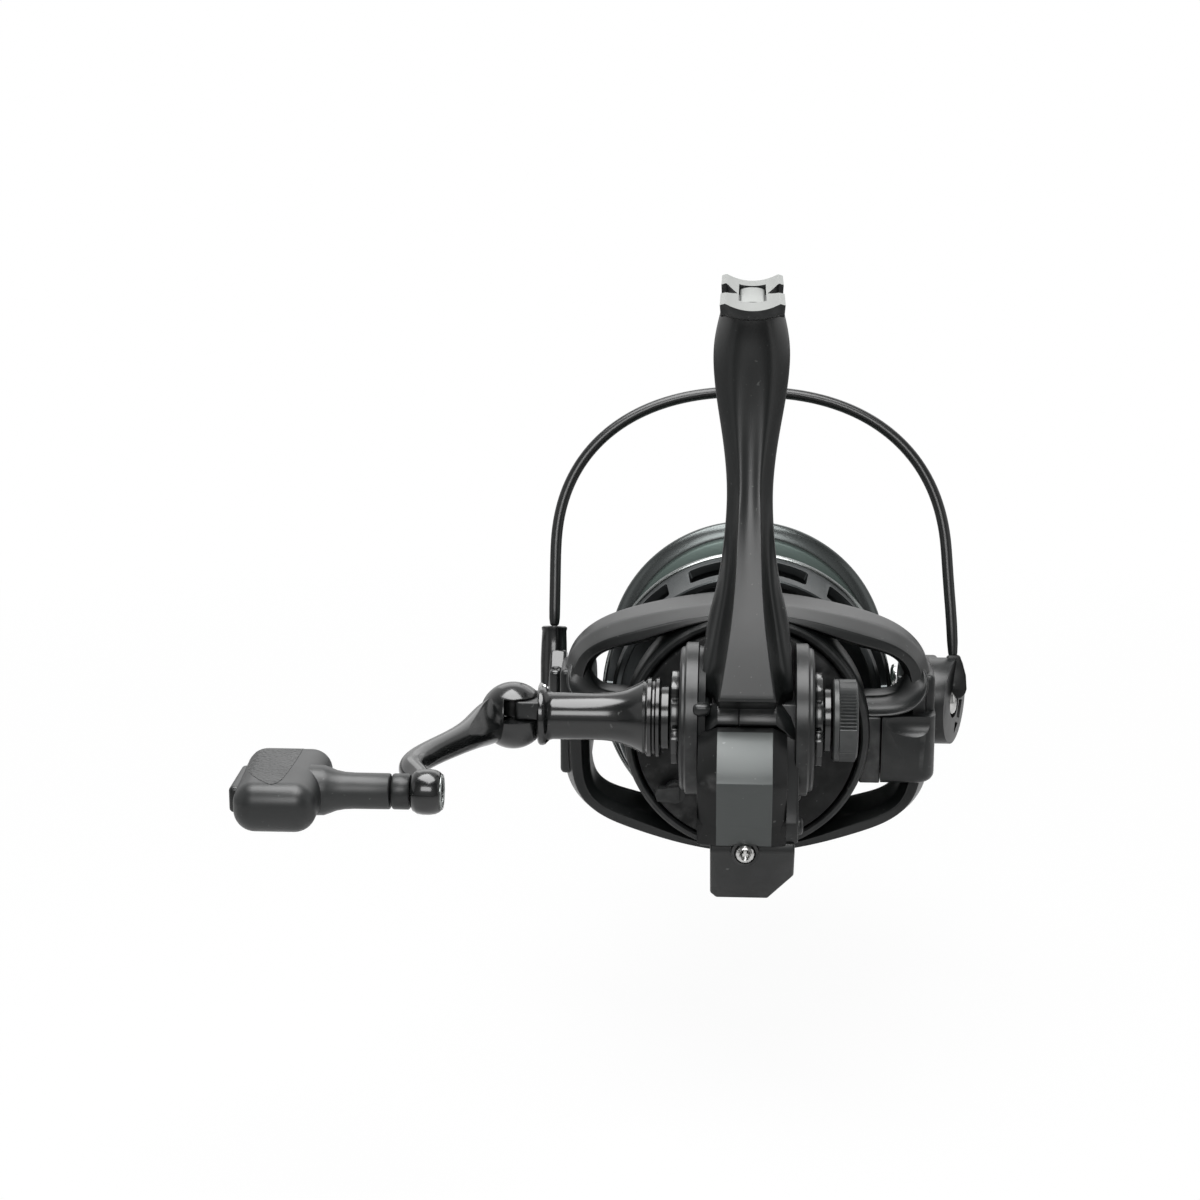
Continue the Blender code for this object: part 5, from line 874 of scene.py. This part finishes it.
tang_shape = [(6.6, -TANG_NEAR), *arc((1.9, 1.1 - TANG_NEAR), 1.1, 270, 180, 8), (0.8, TANG_FAR),
              (6.6, TANG_FAR)]
tang = rounded(slab([(FOLD.x + u, FOLD.y + v) for u, v in tang_shape], TANG_LOW, TANG_HIGH, "Z"), 0.5, 4)
piece("tang", tang, "handle_shank", SATIN, 40)
# The hub round the pin is painted shade, so the slot looks dark round the tang.
tang_eye = rod(TANG_LOW, TANG_HIGH, TANG_ROUND, "Z", (FOLD.x, FOLD.y, 0), 48, 1.9)
piece("tang_eye", tang_eye, "handle_shank", PAINTED_SHADE, 40)

# %% Ball of the arm
BALL_R = 7.85
SLOT_LOW, SLOT_HIGH = FOLD.z + 0.2, FOLD.z + 5.3
SLOT_BACK = 1.7
ball = bmesh.new()
ball_at = Matrix.Translation(FOLD)
bmesh.ops.create_uvsphere(ball, u_segments=64, v_segments=40, radius=BALL_R, matrix=ball_at)


def slot_cutter():
    """The tang's room: open to the shank and to both sides, round at the back."""
    outline = [(-SLOT_BACK, -12.1), (12.3, -12.1), (12.3, 12.1), (-5.43, 12.1),
               *arc((0, 0), 5.43, 180, 252, 12)]
    return slab([(FOLD.x + u, FOLD.y + v) for u, v in outline], SLOT_LOW, SLOT_HIGH, "Z")


collar_room = rod(5.75, 12, 9, "X", FOLD, 50)
pin_seat = rod(-9, -6.6, 1.7, "Z", FOLD, 30)
knuckle = rounded(carved(ball, slot_cutter(), collar_room, pin_seat), 0.22, 2, 40)
piece("arm_knuckle", knuckle, "handle_arm", GLOSS, 35)

# %% Bowed bar with its facet, and the eye
EYE = shaft_mm(joints["knob_spin"]["pos_m"])
EYE.x = -68.0
KNOB_LINE = (0, EYE.y, EYE.z)
# offset from the fold pin, and the bar's half width and half height there
BOW = (
    (-2.6, -1.4, 3.6, 5.6), (-4.4, -4.6, 3.7, 5.5), (-5.9, -8.2, 3.7, 5.1), (-7.1, -12, 3.6, 4.3),
    (-8.6, -16.4, 3.4, 3.6), (-10.8, -21.2, 3.2, 3.2), (-13.4, -26.2, 3.05, 3.05), (-16, -31.2, 3, 3),
    (-18.1, -36.4, 3, 3), (-18.9, -40.9, 3, 3), (-18.2, -44.6, 2.9, 3), (-16.5, -48, 2.8, 2.9),
    (-14.9, -51.8, 2.6, 2.8), (-13.8, -55.2, 2.4, 2.7), (-13.4, -57.6, 2.2, 2.6),
)
FACET_WAY = Vector((0.772, -0.244, 0.60)).normalized()
FACET_AT = FOLD + Vector((-7.1, -12.0, 0)) + FACET_WAY * 2.7
FACET_LONG, FACET_WIDE = 13.0, 20.0


def bar_rings(stations, sides=24):
    """Oval sections square to a path in the plane of the crank."""
    rings = []
    for index, (x, y, wide, tall) in enumerate(stations):
        before, after = stations[max(index - 1, 0)], stations[min(index + 1, len(stations) - 1)]
        way = Vector((after[0] - before[0], after[1] - before[1], 0)).normalized()
        across = Vector((-way.y, way.x, 0))
        middle = FOLD + Vector((x, y, 0))
        angles = [2 * math.pi * step / sides for step in range(sides)]
        rings.append([middle + across * wide * math.cos(a) + Vector((0, 0, tall * math.sin(a)))
                      for a in angles])
    return rings


bar = smoothed(skinned(bar_rings(BOW))[0], 3)
facet_cutter = box((-FACET_WIDE, -FACET_LONG, 0), (FACET_WIDE, FACET_LONG, 8))
lie_on_facet = Matrix.Translation(FACET_AT) @ FACET_WAY.to_track_quat("Z", "Y").to_matrix().to_4x4()
bmesh.ops.transform(facet_cutter, matrix=lie_on_facet, verts=facet_cutter.verts)
bar = carved(bar, facet_cutter, slot_cutter())
piece("arm_bar", bar, "handle_arm", GLOSS, 22)
EYE_SHAPE = [(-3.1, 2.3), (-3.3, 3.2), (-2.9, 4.1), (-1.9, 4.7), (-0.6, 4.9), (0.8, 4.9), (2, 4.7),
             (2.8, 4.3), (3.2, 3.9), (3.2, 2.3)]
piece("arm_eye", turned(EYE_SHAPE, "X", EYE, 64), "handle_arm", GLOSS, 50)

# %% [markdown]
# ## Knob
# The grip is a soft rubber T: a bar lies across the neck that turns on the knob's bolt. The bar
# starts as a box whose edges are bevelled very round, and its outer side leans in towards the near
# end. A shield-shaped patch of pebbled rubber is let into its top. The patch is cut as a flat outline,
# sliced into a grid, dropped on the bar with rays and thickened, so it follows the rounding.

# %% Grip
KNOB_IN, KNOB_OUT = -89.9, -108.8
KNOB_SPAN, KNOB_THICK, KNOB_ROUND = 31.5, 10.8, 4.6
LEAN = 1.6  # how far the outer side comes in at the near end

near_end, far_end = EYE.y - KNOB_SPAN / 2, EYE.y + KNOB_SPAN / 2
grip = box((KNOB_OUT, near_end, EYE.z - KNOB_THICK / 2), (KNOB_IN, far_end, EYE.z + KNOB_THICK / 2))
for vert in grip.verts:
    if vert.co.x < EYE.x - 30 and vert.co.y < EYE.y:
        vert.co.x += LEAN
rounded(grip, KNOB_ROUND, 10)
surface = BVHTree.FromBMesh(grip)
piece("knob_bar", grip, "knob_grip", RUBBER, 60)

# %% Pebbled patch
PATCH_TOP, PATCH_DEEP, PATCH_STEP = 0.08, 0.4, 0.55
PATCH = [(-106.6, -64.2), (-107, -68.5), (-107, -73), (-106.4, -77), (-105.4, -80.6), (-103.9, -84.2),
         (-102, -87.2), (-100.2, -89), (-98.8, -89.6), (-97.8, -88.8), (-97.2, -86.6), (-96.9, -82.5),
         (-96.6, -77), (-96.4, -71), (-96.4, -64.2), (-98.6, -63.4), (-101.5, -63.1), (-104.4, -63.4)]
patch = bmesh.new()
_, patch_edges = chain(patch, [(x, y, 0) for x, y in PATCH], True)
bmesh.ops.edgeloop_fill(patch, edges=patch_edges)
for axis, start, count in ((Vector((1, 0, 0)), -107.3, 22), (Vector((0, 1, 0)), -90.1, 52)):
    for step in range(count):
        everything = patch.verts[:] + patch.edges[:] + patch.faces[:]
        cut_at = axis * (start + PATCH_STEP * step)
        bmesh.ops.bisect_plane(patch, geom=everything, plane_co=cut_at, plane_no=axis)
for vert in patch.verts:
    hit, _, _, _ = surface.ray_cast(Vector((vert.co.x, vert.co.y, EYE.z + 30)), Vector((0, 0, -1)))
    vert.co.z = hit.z + PATCH_TOP if hit else EYE.z
bmesh.ops.recalc_face_normals(patch, faces=patch.faces)
bmesh.ops.solidify(patch, geom=patch.faces[:], thickness=PATCH_DEEP)
piece("knob_patch", patch, "knob_grip", PEBBLED, 60)

# %% Neck, collar, end cap and bolt
NECK = [(KNOB_IN - 3, 0.01), (KNOB_IN - 3, 5.4), (KNOB_IN, 5.35), (KNOB_IN + 1.2, 4.9),
        (KNOB_IN + 2.6, 4.35), (KNOB_IN + 4.4, 4), (KNOB_IN + 6.5, 3.88), (-76, 3.85), (-75.75, 3.7),
        (-75.65, 3.4), (-75.65, 0.01)]
piece("knob_neck", turned(NECK, "X", KNOB_LINE), "knob_grip", RUBBER, 50)
COLLAR = [(-75.3, 2.4), (-75.3, 3.5), (-75.1, 3.75), (-74.8, 3.85), (-71.8, 3.85), (-71.5, 3.6),
          (-71.5, 2.4)]
piece("bolt_collar", turned(COLLAR, "X", KNOB_LINE, 64), "knob_collar", NYLON, 40)
end_cap = rounded(box((-109.1, EYE.y - 8, EYE.z - 2.9), (-106.5, EYE.y + 8, EYE.z + 2.9)), 1.0, 4)
piece("end_cap", end_cap, "knob_cap", SATIN, 50)
BOLT_RING = [(-65.0, 3.1), (-65.0, 3.9), (-64.7, 3.9), (-64.5, 3.7), (-64.5, 3.3), (-64.7, 3.1)]
piece("bolt_ring", turned(BOLT_RING, "X", KNOB_LINE, 48), "knob_bolt", RIM_METAL, 40)
# The bolt's face is a disc of painted shade inside the ring.
BOLT_FACE = [(-66, 0.01), (-66, 3.2), (-64.9, 3.2), (-64.9, 1.6), (-65.6, 1.5), (-65.6, 0.01)]
piece("bolt_face", turned(BOLT_FACE, "X", KNOB_LINE, 48), "knob_bolt", PAINTED_SHADE, 40)

# %% [markdown]
# ## Screw cap
# A knurled cap closes the crank's other end. Ribs run round it in three arcs with smooth stretches
# between, so its outline is a circle with a fine ripple that comes and goes.

# %% Screw cap
RIBS = 72
SMOOTH_MIDDLE, SMOOTH_SHARE = math.radians(196), 0.55


def knurled(radius, depth, points=RIBS * 4):
    """A circle round the crank with a ripple in three arcs."""
    for step in range(points):
        angle = 2 * math.pi * step / points
        ribs = math.cos(3 * (angle - SMOOTH_MIDDLE)) < SMOOTH_SHARE
        r = radius - depth * (0.5 + 0.5 * math.cos(RIBS * angle)) * ribs
        yield (CRANK.y + r * math.cos(angle), CRANK.z + r * math.sin(angle))


ribbed = slab(list(knurled(9.6, 0.5)), 21.4, 25.2, "X")
CAP_BASE = [(19.9, 0.01), (19.9, 9.2), (20.2, 9.6), (21.2, 9.6), (21.5, 9.3), (21.5, 0.01)]
CAP_FACE = [(25.0, 0.01), (25.0, 9.3), (25.5, 9.0), (25.7, 8.4), (25.7, 6.6), (25.1, 6.2), (25.1, 0.01)]
cap = joined(ribbed, turned(CAP_BASE, "X", CRANK), turned(CAP_FACE, "X", CRANK))
piece("cap_knurl", cap, "screw_cap", RIBBED, 30)
CAP_RING = [(17.9, 4.3), (17.9, 7.2), (18.1, 7.5), (19.3, 7.5), (19.5, 7.2), (19.5, 4.3)]
piece("cap_ring", turned(CAP_RING, "X", CRANK), "cap_collar", GLOSS)

# %% [markdown]
# ## Rotor
# The rotor is an open frame: four legs leave a round cup and meet two arms that carry the bail. A
# section with flat facets is carried round the whole frame, wider at the arms and set back there,
# and bridged from place to place, so the light upper facet and the dark one behind it run on in one
# sweep. The cup is turned, and the arms are rounded slabs.

# %% Rotor legs and cup
# outer x, outer z, inner x, inner z, where the rear starts
LEG = (
    (0, 31.5, 0, 28.6, 1.2),
    (10, 30.7, 9, 27.6, 1.2),
    (20, 29, 17.5, 24.6, 1.4),
    (29, 26.8, 25.2, 21.2, 2),
    (36.4, 24, 32.2, 19.8, 3.2),
    (42.3, 19.4, 37.2, 17, 5),
    (45, 13.4, 38.5, 11.6, 6.4),
    (45.4, 4, 38.6, 3, 7),
)
ROTOR_FRONT = 20.4
LEG_CREASE = 0.82


def leg_ring(outer_x, outer_z, inner_x, inner_z, rear):
    """A section of the frame: outer facet, rear facet and inner bevel."""
    def between(share, y):
        return (outer_x + (inner_x - outer_x) * share, y, outer_z + (inner_z - outer_z) * share)

    return [between(0, ROTOR_FRONT), between(0, rear + 7), between(0.34, rear + 0.5),
            between(0.74, rear), between(1, rear + 3.4), between(1, ROTOR_FRONT)]


half_loop = [*LEG, *((ox, -oz, ix, -iz, r) for ox, oz, ix, iz, r in reversed(LEG))]
loop = half_loop[:-1] + [(-ox, oz, -ix, iz, r) for ox, oz, ix, iz, r in reversed(half_loop[1:])]
legs, leg_rows = skinned([leg_ring(*station) for station in loop], True)
tidy(legs)
crease = legs.edges.layers.float.new("crease_edge")
for near_row, far_row in zip(leg_rows, leg_rows[1:] + leg_rows[:1]):
    for start, end in zip(near_row, far_row):
        legs.edges.get((start, end))[crease] = LEG_CREASE
piece("rotor_legs", legs, "rotor_frame", SATIN, 50, 3)

CUP = [(0.4, 27.6), (0, 28.1), (0, 28.9), (0.4, 29.4), (1.2, 29.6), (1.6, 29.3), (2.2, 29.3),
       (2.6, 29.7), (3.4, 30), (14, 30), (18, 29.2), (14.2, 25.5), (14.1, 4.5), (11.5, 4.5),
       (11.5, 27), (10, 27.6)]
piece("rotor_cup", turned(CUP, "Y", steps=128), "rotor_frame", NYLON, 30)

# %% [markdown]
# On each side a hollow web leads from the cup to the arm. The web ends below in a thin lip, so its
# section is carried along two curves, the window's lower edge and the lip. On the right a block
# covers the bail's spring. It has one large round edge, a scoop near its top and a fine seam beside
# it.

# %% Rotor arms
tip = list(arc((PIVOT.y, PIVOT.z), 10.4, 62, -62, 24))
POST = [(9.5, 13.0), (ROTOR_FRONT, 13.5), *tip, (ROTOR_FRONT, -14.5), (9.5, -13.4)]
# the window's lower edge and the lip under it, place by place
WINDOW_EDGE = ((26, 8.6), (30, 8.6), (33.4, 8.7), (35.7, 9.5), (37.3, 11.2), (38.3, 13.8),
               (38.6, 15.6), (38.9, 17.4))
LIP_EDGE = ((26, 4.6), (31.5, 4.6), (35.6, 4.9), (38.8, 5.7), (41.5, 7.4), (43.4, 10.2), (43.7, 12.8),
            (42.6, 15.4))
LIP_REAR = (3.1, 3.1, 3.1, 3.2, 3.6, 4.6, 6.4, 9.0)
WINDOW_REAR_Y, WEB_FRONT = 7.0, 17.0


def web_section(lip_y):
    """How far from the window's edge to the lip, and how far back there."""
    edge_y = max(WINDOW_REAR_Y, lip_y)
    return ((0, WEB_FRONT), (0, edge_y + 0.8), (0.06, edge_y), (0.4, 0.7 * edge_y + 0.3 * lip_y),
            (0.72, 0.5 * edge_y + 0.5 * lip_y), (0.9, lip_y + 0.5), (0.97, lip_y), (1.05, lip_y),
            (1.08, lip_y + 0.4), (1.08, WEB_FRONT))


for side, word in SIDES:
    low, high = sorted((side * 38.7, side * 45.7))
    post = rounded(slab(POST, low, high, "X"), 1.2, 4)
    piece(f"rotor_arm_{word}", post, "rotor_frame", SATIN, 40)
    web_rings = []
    for (x, z), (lip_x, lip_z), lip_y in zip(WINDOW_EDGE, LIP_EDGE, LIP_REAR):
        web_rings.append([(side * (x + (lip_x - x) * share), y, z + (lip_z - z) * share)
                          for share, y in web_section(lip_y)])
    web, _ = skinned(web_rings)
    piece(f"rotor_web_{word}", web, "rotor_frame", SATIN, 60, 2)

COVER_LOW, COVER_HIGH = (32.7, 2.6, -12.6), (45.8, 19.4, 4.2)
spring_cover = box(COVER_LOW, COVER_HIGH)
tidy(spring_cover)
corner = [edge for edge in spring_cover.edges
          if all(vert.co.x > 45 and vert.co.y < 3 for vert in edge.verts)]
bevelled(spring_cover, corner, 5.0, 8)
foot_edge = [edge for edge in spring_cover.edges
             if all(vert.co.z < -12 for vert in edge.verts) and min(vert.co.y for vert in edge.verts) < 10
             and max(vert.co.x for vert in edge.verts) > 33]
bevelled(spring_cover, foot_edge, 2.2, 6)
scoop = bmesh.new()
bmesh.ops.create_uvsphere(scoop, u_segments=48, v_segments=24, radius=1)
bmesh.ops.scale(scoop, vec=(8.2, 3.0, 3.9), verts=scoop.verts)
bmesh.ops.translate(scoop, vec=(41.2, 1.4, 3.1), verts=scoop.verts)
spring_cover = rounded(carved(spring_cover, scoop), 0.25, 2, 40)
piece("spring_cover", spring_cover, "arm_cover", SATIN, 35)
cover_wall = rounded(box((27.5, 3.0, -12.4), (32.45, 18, 4.2)), 0.4, 3)
piece("cover_wall", cover_wall, "rotor_frame", SATIN, 40)
TAB = [(38.4, -3.0), (39.6, -4.0), (40.6, -3.6), (40.4, 8.4), (37.6, 8.8), (37.3, 3.5)]
piece("trip_tab", rounded(slab(TAB, 23.5, 25.0, "Y"), 0.35, 3), "rotor_frame", GUNMETAL, 40)
for side, word in SIDES:
    head = screw_head((side * 51.4, PIVOT.y, PIVOT.z), "X", side, 3.6, 2.0, 0.8)
    piece(f"pivot_head_{word}", head, f"bail_pivot_screw_{word}", STEEL, 40)

# %% [markdown]
# ## Bail
# A wire bow swings over the spool between a small lever on the left and the roller arm on the
# right. The bow is a flattened ellipse in its own plane, so its sections follow a formula. A wire
# is a skin of small circles square to that path.

# %% Bail wire
BAIL_ANGLE = math.radians(73)
BOW_HALF, BOW_SHOULDER, BOW_REACH, BOW_POWER = 49.6, 36.0, 78.8, 2.3
WIRE_RADIUS = 1.45
HOLDER_TOP, HOLDER_X = 11.5, 52.6
FORWARD = Vector((0, math.cos(BAIL_ANGLE), math.sin(BAIL_ANGLE)))
SIDE_WAY = Vector((1, 0, 0)).cross(FORWARD)


def on_bail(x, reach):
    """A place in the bail's plane."""
    return PIVOT + Vector((x, 0, 0)) + FORWARD * reach


path = [on_bail(-BOW_HALF, reach) for reach in (17.0, 22, 27, 32)]
for step in range(49):
    angle = math.pi * (1 - step / 48)
    x = BOW_HALF * math.copysign(abs(math.cos(angle)) ** (2 / BOW_POWER), math.cos(angle))
    reach = BOW_SHOULDER + (BOW_REACH - BOW_SHOULDER) * math.sin(angle) ** (2 / BOW_POWER)
    lean = max(0.0, 1 - (reach - HOLDER_TOP) / (BOW_REACH - HOLDER_TOP)) ** 2 if x > 0 else 0.0
    path.append(on_bail(x + lean * (HOLDER_X - BOW_HALF), reach))
path += [on_bail(HOLDER_X - 1.2, 28), on_bail(HOLDER_X - 0.4, 20), on_bail(HOLDER_X, HOLDER_TOP - 2)]


def wire_rings(points, radii, sides=20):
    """Circles square to a path that lies in the bail's plane."""
    rings = []
    for index, middle in enumerate(points):
        way = (points[min(index + 1, len(points) - 1)] - points[max(index - 1, 0)]).normalized()
        across = way.cross(SIDE_WAY).normalized()
        angles = [2 * math.pi * step / sides for step in range(sides)]
        rings.append([middle + (across * math.cos(a) + SIDE_WAY * math.sin(a)) * radii[index]
                      for a in angles])
    return rings


wire, _ = skinned(wire_rings(path, [WIRE_RADIUS] * len(path)))
piece("bail_bow", wire, "bail_wire", WIRE, 60, 1)

# %% [markdown]
# The lever is a plate round the pivot with a tapered socket for the wire and a rounded rib on its
# back. The roller arm is a dome turned on the pivot's axis and sliced by a slanting plane. A recess
# lets in the screw, three pockets lighten it, and a wedge holds the wire.

# %% Lever
lever_way = math.degrees(BAIL_ANGLE)
LEVER_REACH, LEVER_HALF = 11.5, 3.4
lever_top = [(PIVOT.y + LEVER_REACH * FORWARD.y + s * LEVER_HALF * FORWARD.z,
              PIVOT.z + LEVER_REACH * FORWARD.z - s * LEVER_HALF * FORWARD.y) for s in (1, -1)]
lever_outline = [*lever_top, *arc((PIVOT.y, PIVOT.z), 8.2, lever_way + 65, lever_way + 295, 32)]
lever = rounded(slab(lever_outline, -50.4, -46.2, "X"), 0.8, 3)
socket_path = [on_bail(-BOW_HALF, reach) for reach in (2, 8.5, 13, 16.4, 16.8, 17.3, 17.6, 17.4, 16.6)]
socket, _ = skinned(wire_rings(socket_path, (3.3, 3.4, 3.3, 3.15, 3.3, 3.3, 2.9, 2.0, 1.7), 28))
rib = rounded(box((-50.0, PIVOT.y - 9.4, PIVOT.z - 8.0), (-46.9, PIVOT.y - 4, PIVOT.z + 9.0)), 1.2, 5)
piece("lever_left", joined(lever, socket, rib), "bail_lever", GLOSS, 40)

# %% Roller arm
SLANT = Vector((0.95, -0.31, 0)).normalized()
SLANT_AT = PIVOT + Vector((53.0, 0, 0))
dome = tidy(rod(46.2, 59, 11, "X", PIVOT, 72))
everything = dome.verts[:] + dome.edges[:] + dome.faces[:]
sliced = bmesh.ops.bisect_plane(dome, geom=everything, plane_co=SLANT_AT, plane_no=SLANT,
                                clear_outer=True)
open_edges = [item for item in sliced["geom_cut"] if isinstance(item, bmesh.types.BMEdge)]
bmesh.ops.holes_fill(dome, edges=open_edges, sides=0)
rounded(dome, 0.9, 4, 40)
screw_room = turned([(50.6, 0.01), (50.6, 4.3), (60, 4.5), (60, 0.01)], "X", PIVOT, 46)
# pockets beside the screw: places forward of the pivot and above it, and the pocket's floor
POCKETS = (
    (((5.2, -1.0), (8.2, -2.0), (5.6, -6.2), (3.0, -5.2)), 53.6),
    (((1.4, -6.0), (4.4, -7.2), (0.6, -9.0)), 52.6),
    (((5.2, 1.0), (8.0, 2.2), (5.6, 6.0), (3.2, 5.2)), 53.6),
)
pockets = []
for corners, pocket_floor in POCKETS:
    pockets.append(slab([(PIVOT.y + u, PIVOT.z + v) for u, v in corners], pocket_floor, 60, "X"))
dome = rounded(carved(dome, screw_room, *pockets), 0.15, 2, 40)
arm_outline = [*arc((PIVOT.y, PIVOT.z), 9.8, 60, 300, 32), *arc((ROLLER.y, ROLLER.z), 5.6, -70, 80, 20)]
arm_plate = rounded(slab(arm_outline, 46.3, 50.2, "X"), 1.0, 3)
# reach along the bail, low x, high x, half thickness
WEDGE = ((0.6, 50.2, 54.4, 2.2), (1.6, 49.8, 55.5, 2.8), (3, 49.5, 55.9, 3), (6.4, 49.8, 55.7, 2.9),
         (8, 50.1, 55.3, 2.7), (11.2, 51, 54.3, 2.1), (11.7, 51.3, 54, 1.8))
wedge_rings = []
for reach, low, high, half in WEDGE:
    corners = ((low, -half), (high, -half), (high, half), (low, half))
    wedge_rings.append([on_bail(x, reach) + SIDE_WAY * thick for x, thick in corners])
wedge, _ = skinned(wedge_rings)
# The wire holder takes the painted shade finish, darker than the satin black.
piece("wire_holder", rounded(wedge, 0.45, 3, 30), "bail_arm", PAINTED_SHADE, 40)
piece("arm_right", joined(dome, arm_plate), "bail_arm", SATIN, 35)
ROLLER_SHAPE = [(40, 1.75), (40, 4.2), (40.8, 4.3), (41.6, 3.6), (42.6, 3.2), (43.6, 3.4),
                (44.6, 4.2), (45.5, 4.3), (45.7, 4), (45.7, 1.75)]
roller = turned(ROLLER_SHAPE, "X", (0, ROLLER.y, ROLLER.z), 64)
piece("roller", roller, "line_roller", STEEL)
roller_head = screw_head((39.3, ROLLER.y, ROLLER.z), "X", -1, 3.2, 1.3, 0.7)
piece("roller_head", roller_head, "roller_screw", STEEL, 40)

# %% [markdown]
# ## Spool
# The spool is turned in three profiles: the drum with its front flange, the vented skirt behind it
# and the lip of dark metal that closes the front. The skirt keeps a thin polished rim where it meets
# the drum. Six long windows are carved through it with wedge-shaped cutters.

# %% Drum and lip
DRUM = [(42, 4.4), (42, 8), (62.5, 8), (62.5, 23.5), (39.2, 23.5), (39.1, 24.6), (39.4, 25.2),
        (69, 24.5), (69.3, 24.9), (69.4, 25.6), (69.6, 32.4), (69.9, 33), (71.4, 33.4), (71.4, 30),
        (74, 30), (74, 17.6), (66.5, 17.6), (66.5, 4.4)]
piece("spool_turned", turned(DRUM, "Y", steps=144), "spool_body", GREEN_GREY, 30)
LIP = [(71.6, 30.3), (71, 33), (71.2, 34), (71.8, 35.4), (72.6, 36.6), (73.3, 37), (74, 36.9),
       (74.6, 36.3), (75, 35), (74.5, 30.3)]
piece("lip_turned", turned(LIP, "Y", steps=144), "spool_lip", LIP_BLACK, 40)

# %% Vented skirt with its bright rim
SKIRT = [(38.6, 25), (37.2, 25), (37.2, 34), (36, 34.2), (25.4, 31.7), (25.2, 32), (25.2, 33),
         (25.5, 33.4), (35.2, 35.9), (35.7, 36.15), (38.4, 36.15), (38.6, 35.9)]
RIM = [(36.1, 36), (36.1, 36.5), (36.35, 36.75), (36.7, 36.75), (36.9, 36.5), (37.2, 36.5),
       (37.4, 36.75), (38, 36.75), (38.4, 36.5), (38.6, 36)]
WINDOW_SPREAD = 25.0
windows = []
for index in range(6):
    middle = 90 + index * 60
    wedge = [*arc((0, 0), 40, middle - WINDOW_SPREAD, middle + WINDOW_SPREAD, 12),
             *arc((0, 0), 28.5, middle + WINDOW_SPREAD, middle - WINDOW_SPREAD, 12)]
    windows.append(rounded(slab(wedge, 27.8, 34.3, "Y"), 0.8, 3))
skirt = carved(turned(SKIRT, "Y", steps=144), *windows)
piece("skirt_turned", skirt, "spool_skirt", ANODISED, 30)
piece("skirt_rim", turned(RIM, "Y", steps=144), "spool_skirt", RIM_METAL, 30)

# %% Drag knob
lobed = list(scalloped(20.0, 2.2, 9, 180))
knob = rounded(slab(lobed, 75.5, 86.0, "Y"), 1.4, 4)
knob_seat = rod(72.4, 76, 8.9, "Y", bore=2.7)
piece("drag_grip", joined(knob, knob_seat), "drag_knob", SATIN, 40)
DRAG_FACE = [(86.2, 0.01), (86.2, 11.8), (86.9, 11.6), (87.5, 10.8), (87.8, 9.6), (87.8, 0.01)]
piece("drag_face", turned(DRAG_FACE, "Y"), "drag_knob_cap", GUNMETAL, 40)

# %% [markdown]
# ## Pieces that keep their solid shape
# Inner shafts, gears, bearings and washers are right as they are. They only get the finish of their
# material. The crank's shaft ends show between the cap and the case, so they take dark metal. The
# drive gear's teeth, seen through a gap in the case, are painted near black as shade.

# %% Finishes of the other nodes
SLOT_FINISH = {
    "satin_black": SATIN,
    "gloss_black": GLOSS,
    "black_nylon": NYLON,
    "gunmetal": GUNMETAL,
    "dark_anodised": ANODISED,
    "bare_aluminium": BARE,
    "bright_steel": STEEL,
    "gear_bronze": BRONZE,
    "soft_rubber": RUBBER,
    "drag_felt": FELT,
    "wire_black": WIRE,
}
for node, slot in SLOT_OF.items():
    mesh = frame["nodes"][node].data
    mesh.materials.clear()
    mesh.materials.append(SLOT_FINISH[slot])

# %% Painted shade on the drive gear's teeth, and its dark shaft ends
SHAFT_END, HUB_R = 11.0, 11.5
bronze_dark_ends_painted_shade = BRONZE.copy()
bronze_dark_ends_painted_shade.name = "gear_bronze_dark_ends_painted_shade"
tree = bronze_dark_ends_painted_shade.node_tree
shader = tree.nodes["Principled BSDF"]
bronze_colour = shader.inputs["Base Color"].links[0].from_socket
crank_line = tuple(TO_WORLD @ Vector((0, CRANK.y, CRANK.z)))
place = add(tree, "TexCoord", {}).outputs["Object"]
from_crank = add(tree, "VectorMath", {0: place, 1: crank_line}, operation="SUBTRACT").outputs[0]
axes = add(tree, "SeparateXYZ", {0: from_crank})
across = add(tree, "Math", {0: axes.outputs["X"]}, operation="ABSOLUTE")
flat = add(tree, "VectorMath", {0: from_crank, 1: (0, 1, 1)}, operation="MULTIPLY").outputs[0]
reach = add(tree, "VectorMath", {0: flat}, operation="LENGTH")
end_mask = ranged(tree, across.outputs[0], 0.0, 1.0, (SHAFT_END - 0.5) * MM, SHAFT_END * MM)
# Beyond the hub the teeth turn near black: painted shade inside the case.
painted_shade_teeth_mask = ranged(tree, reach.outputs["Value"], 0.0, 1.0, HUB_R * MM, (HUB_R + 0.5) * MM)
dark_end = mixed(tree, end_mask, bronze_colour, (0.010, 0.011, 0.011, 1))
tree.links.new(mixed(tree, painted_shade_teeth_mask, dark_end, (0.006, 0.006, 0.006, 1)), shader.inputs["Base Color"])
frame["nodes"]["drive_gear"].data.materials[0] = bronze_dark_ends_painted_shade
print("nodes dressed", len(SLOT_OF))
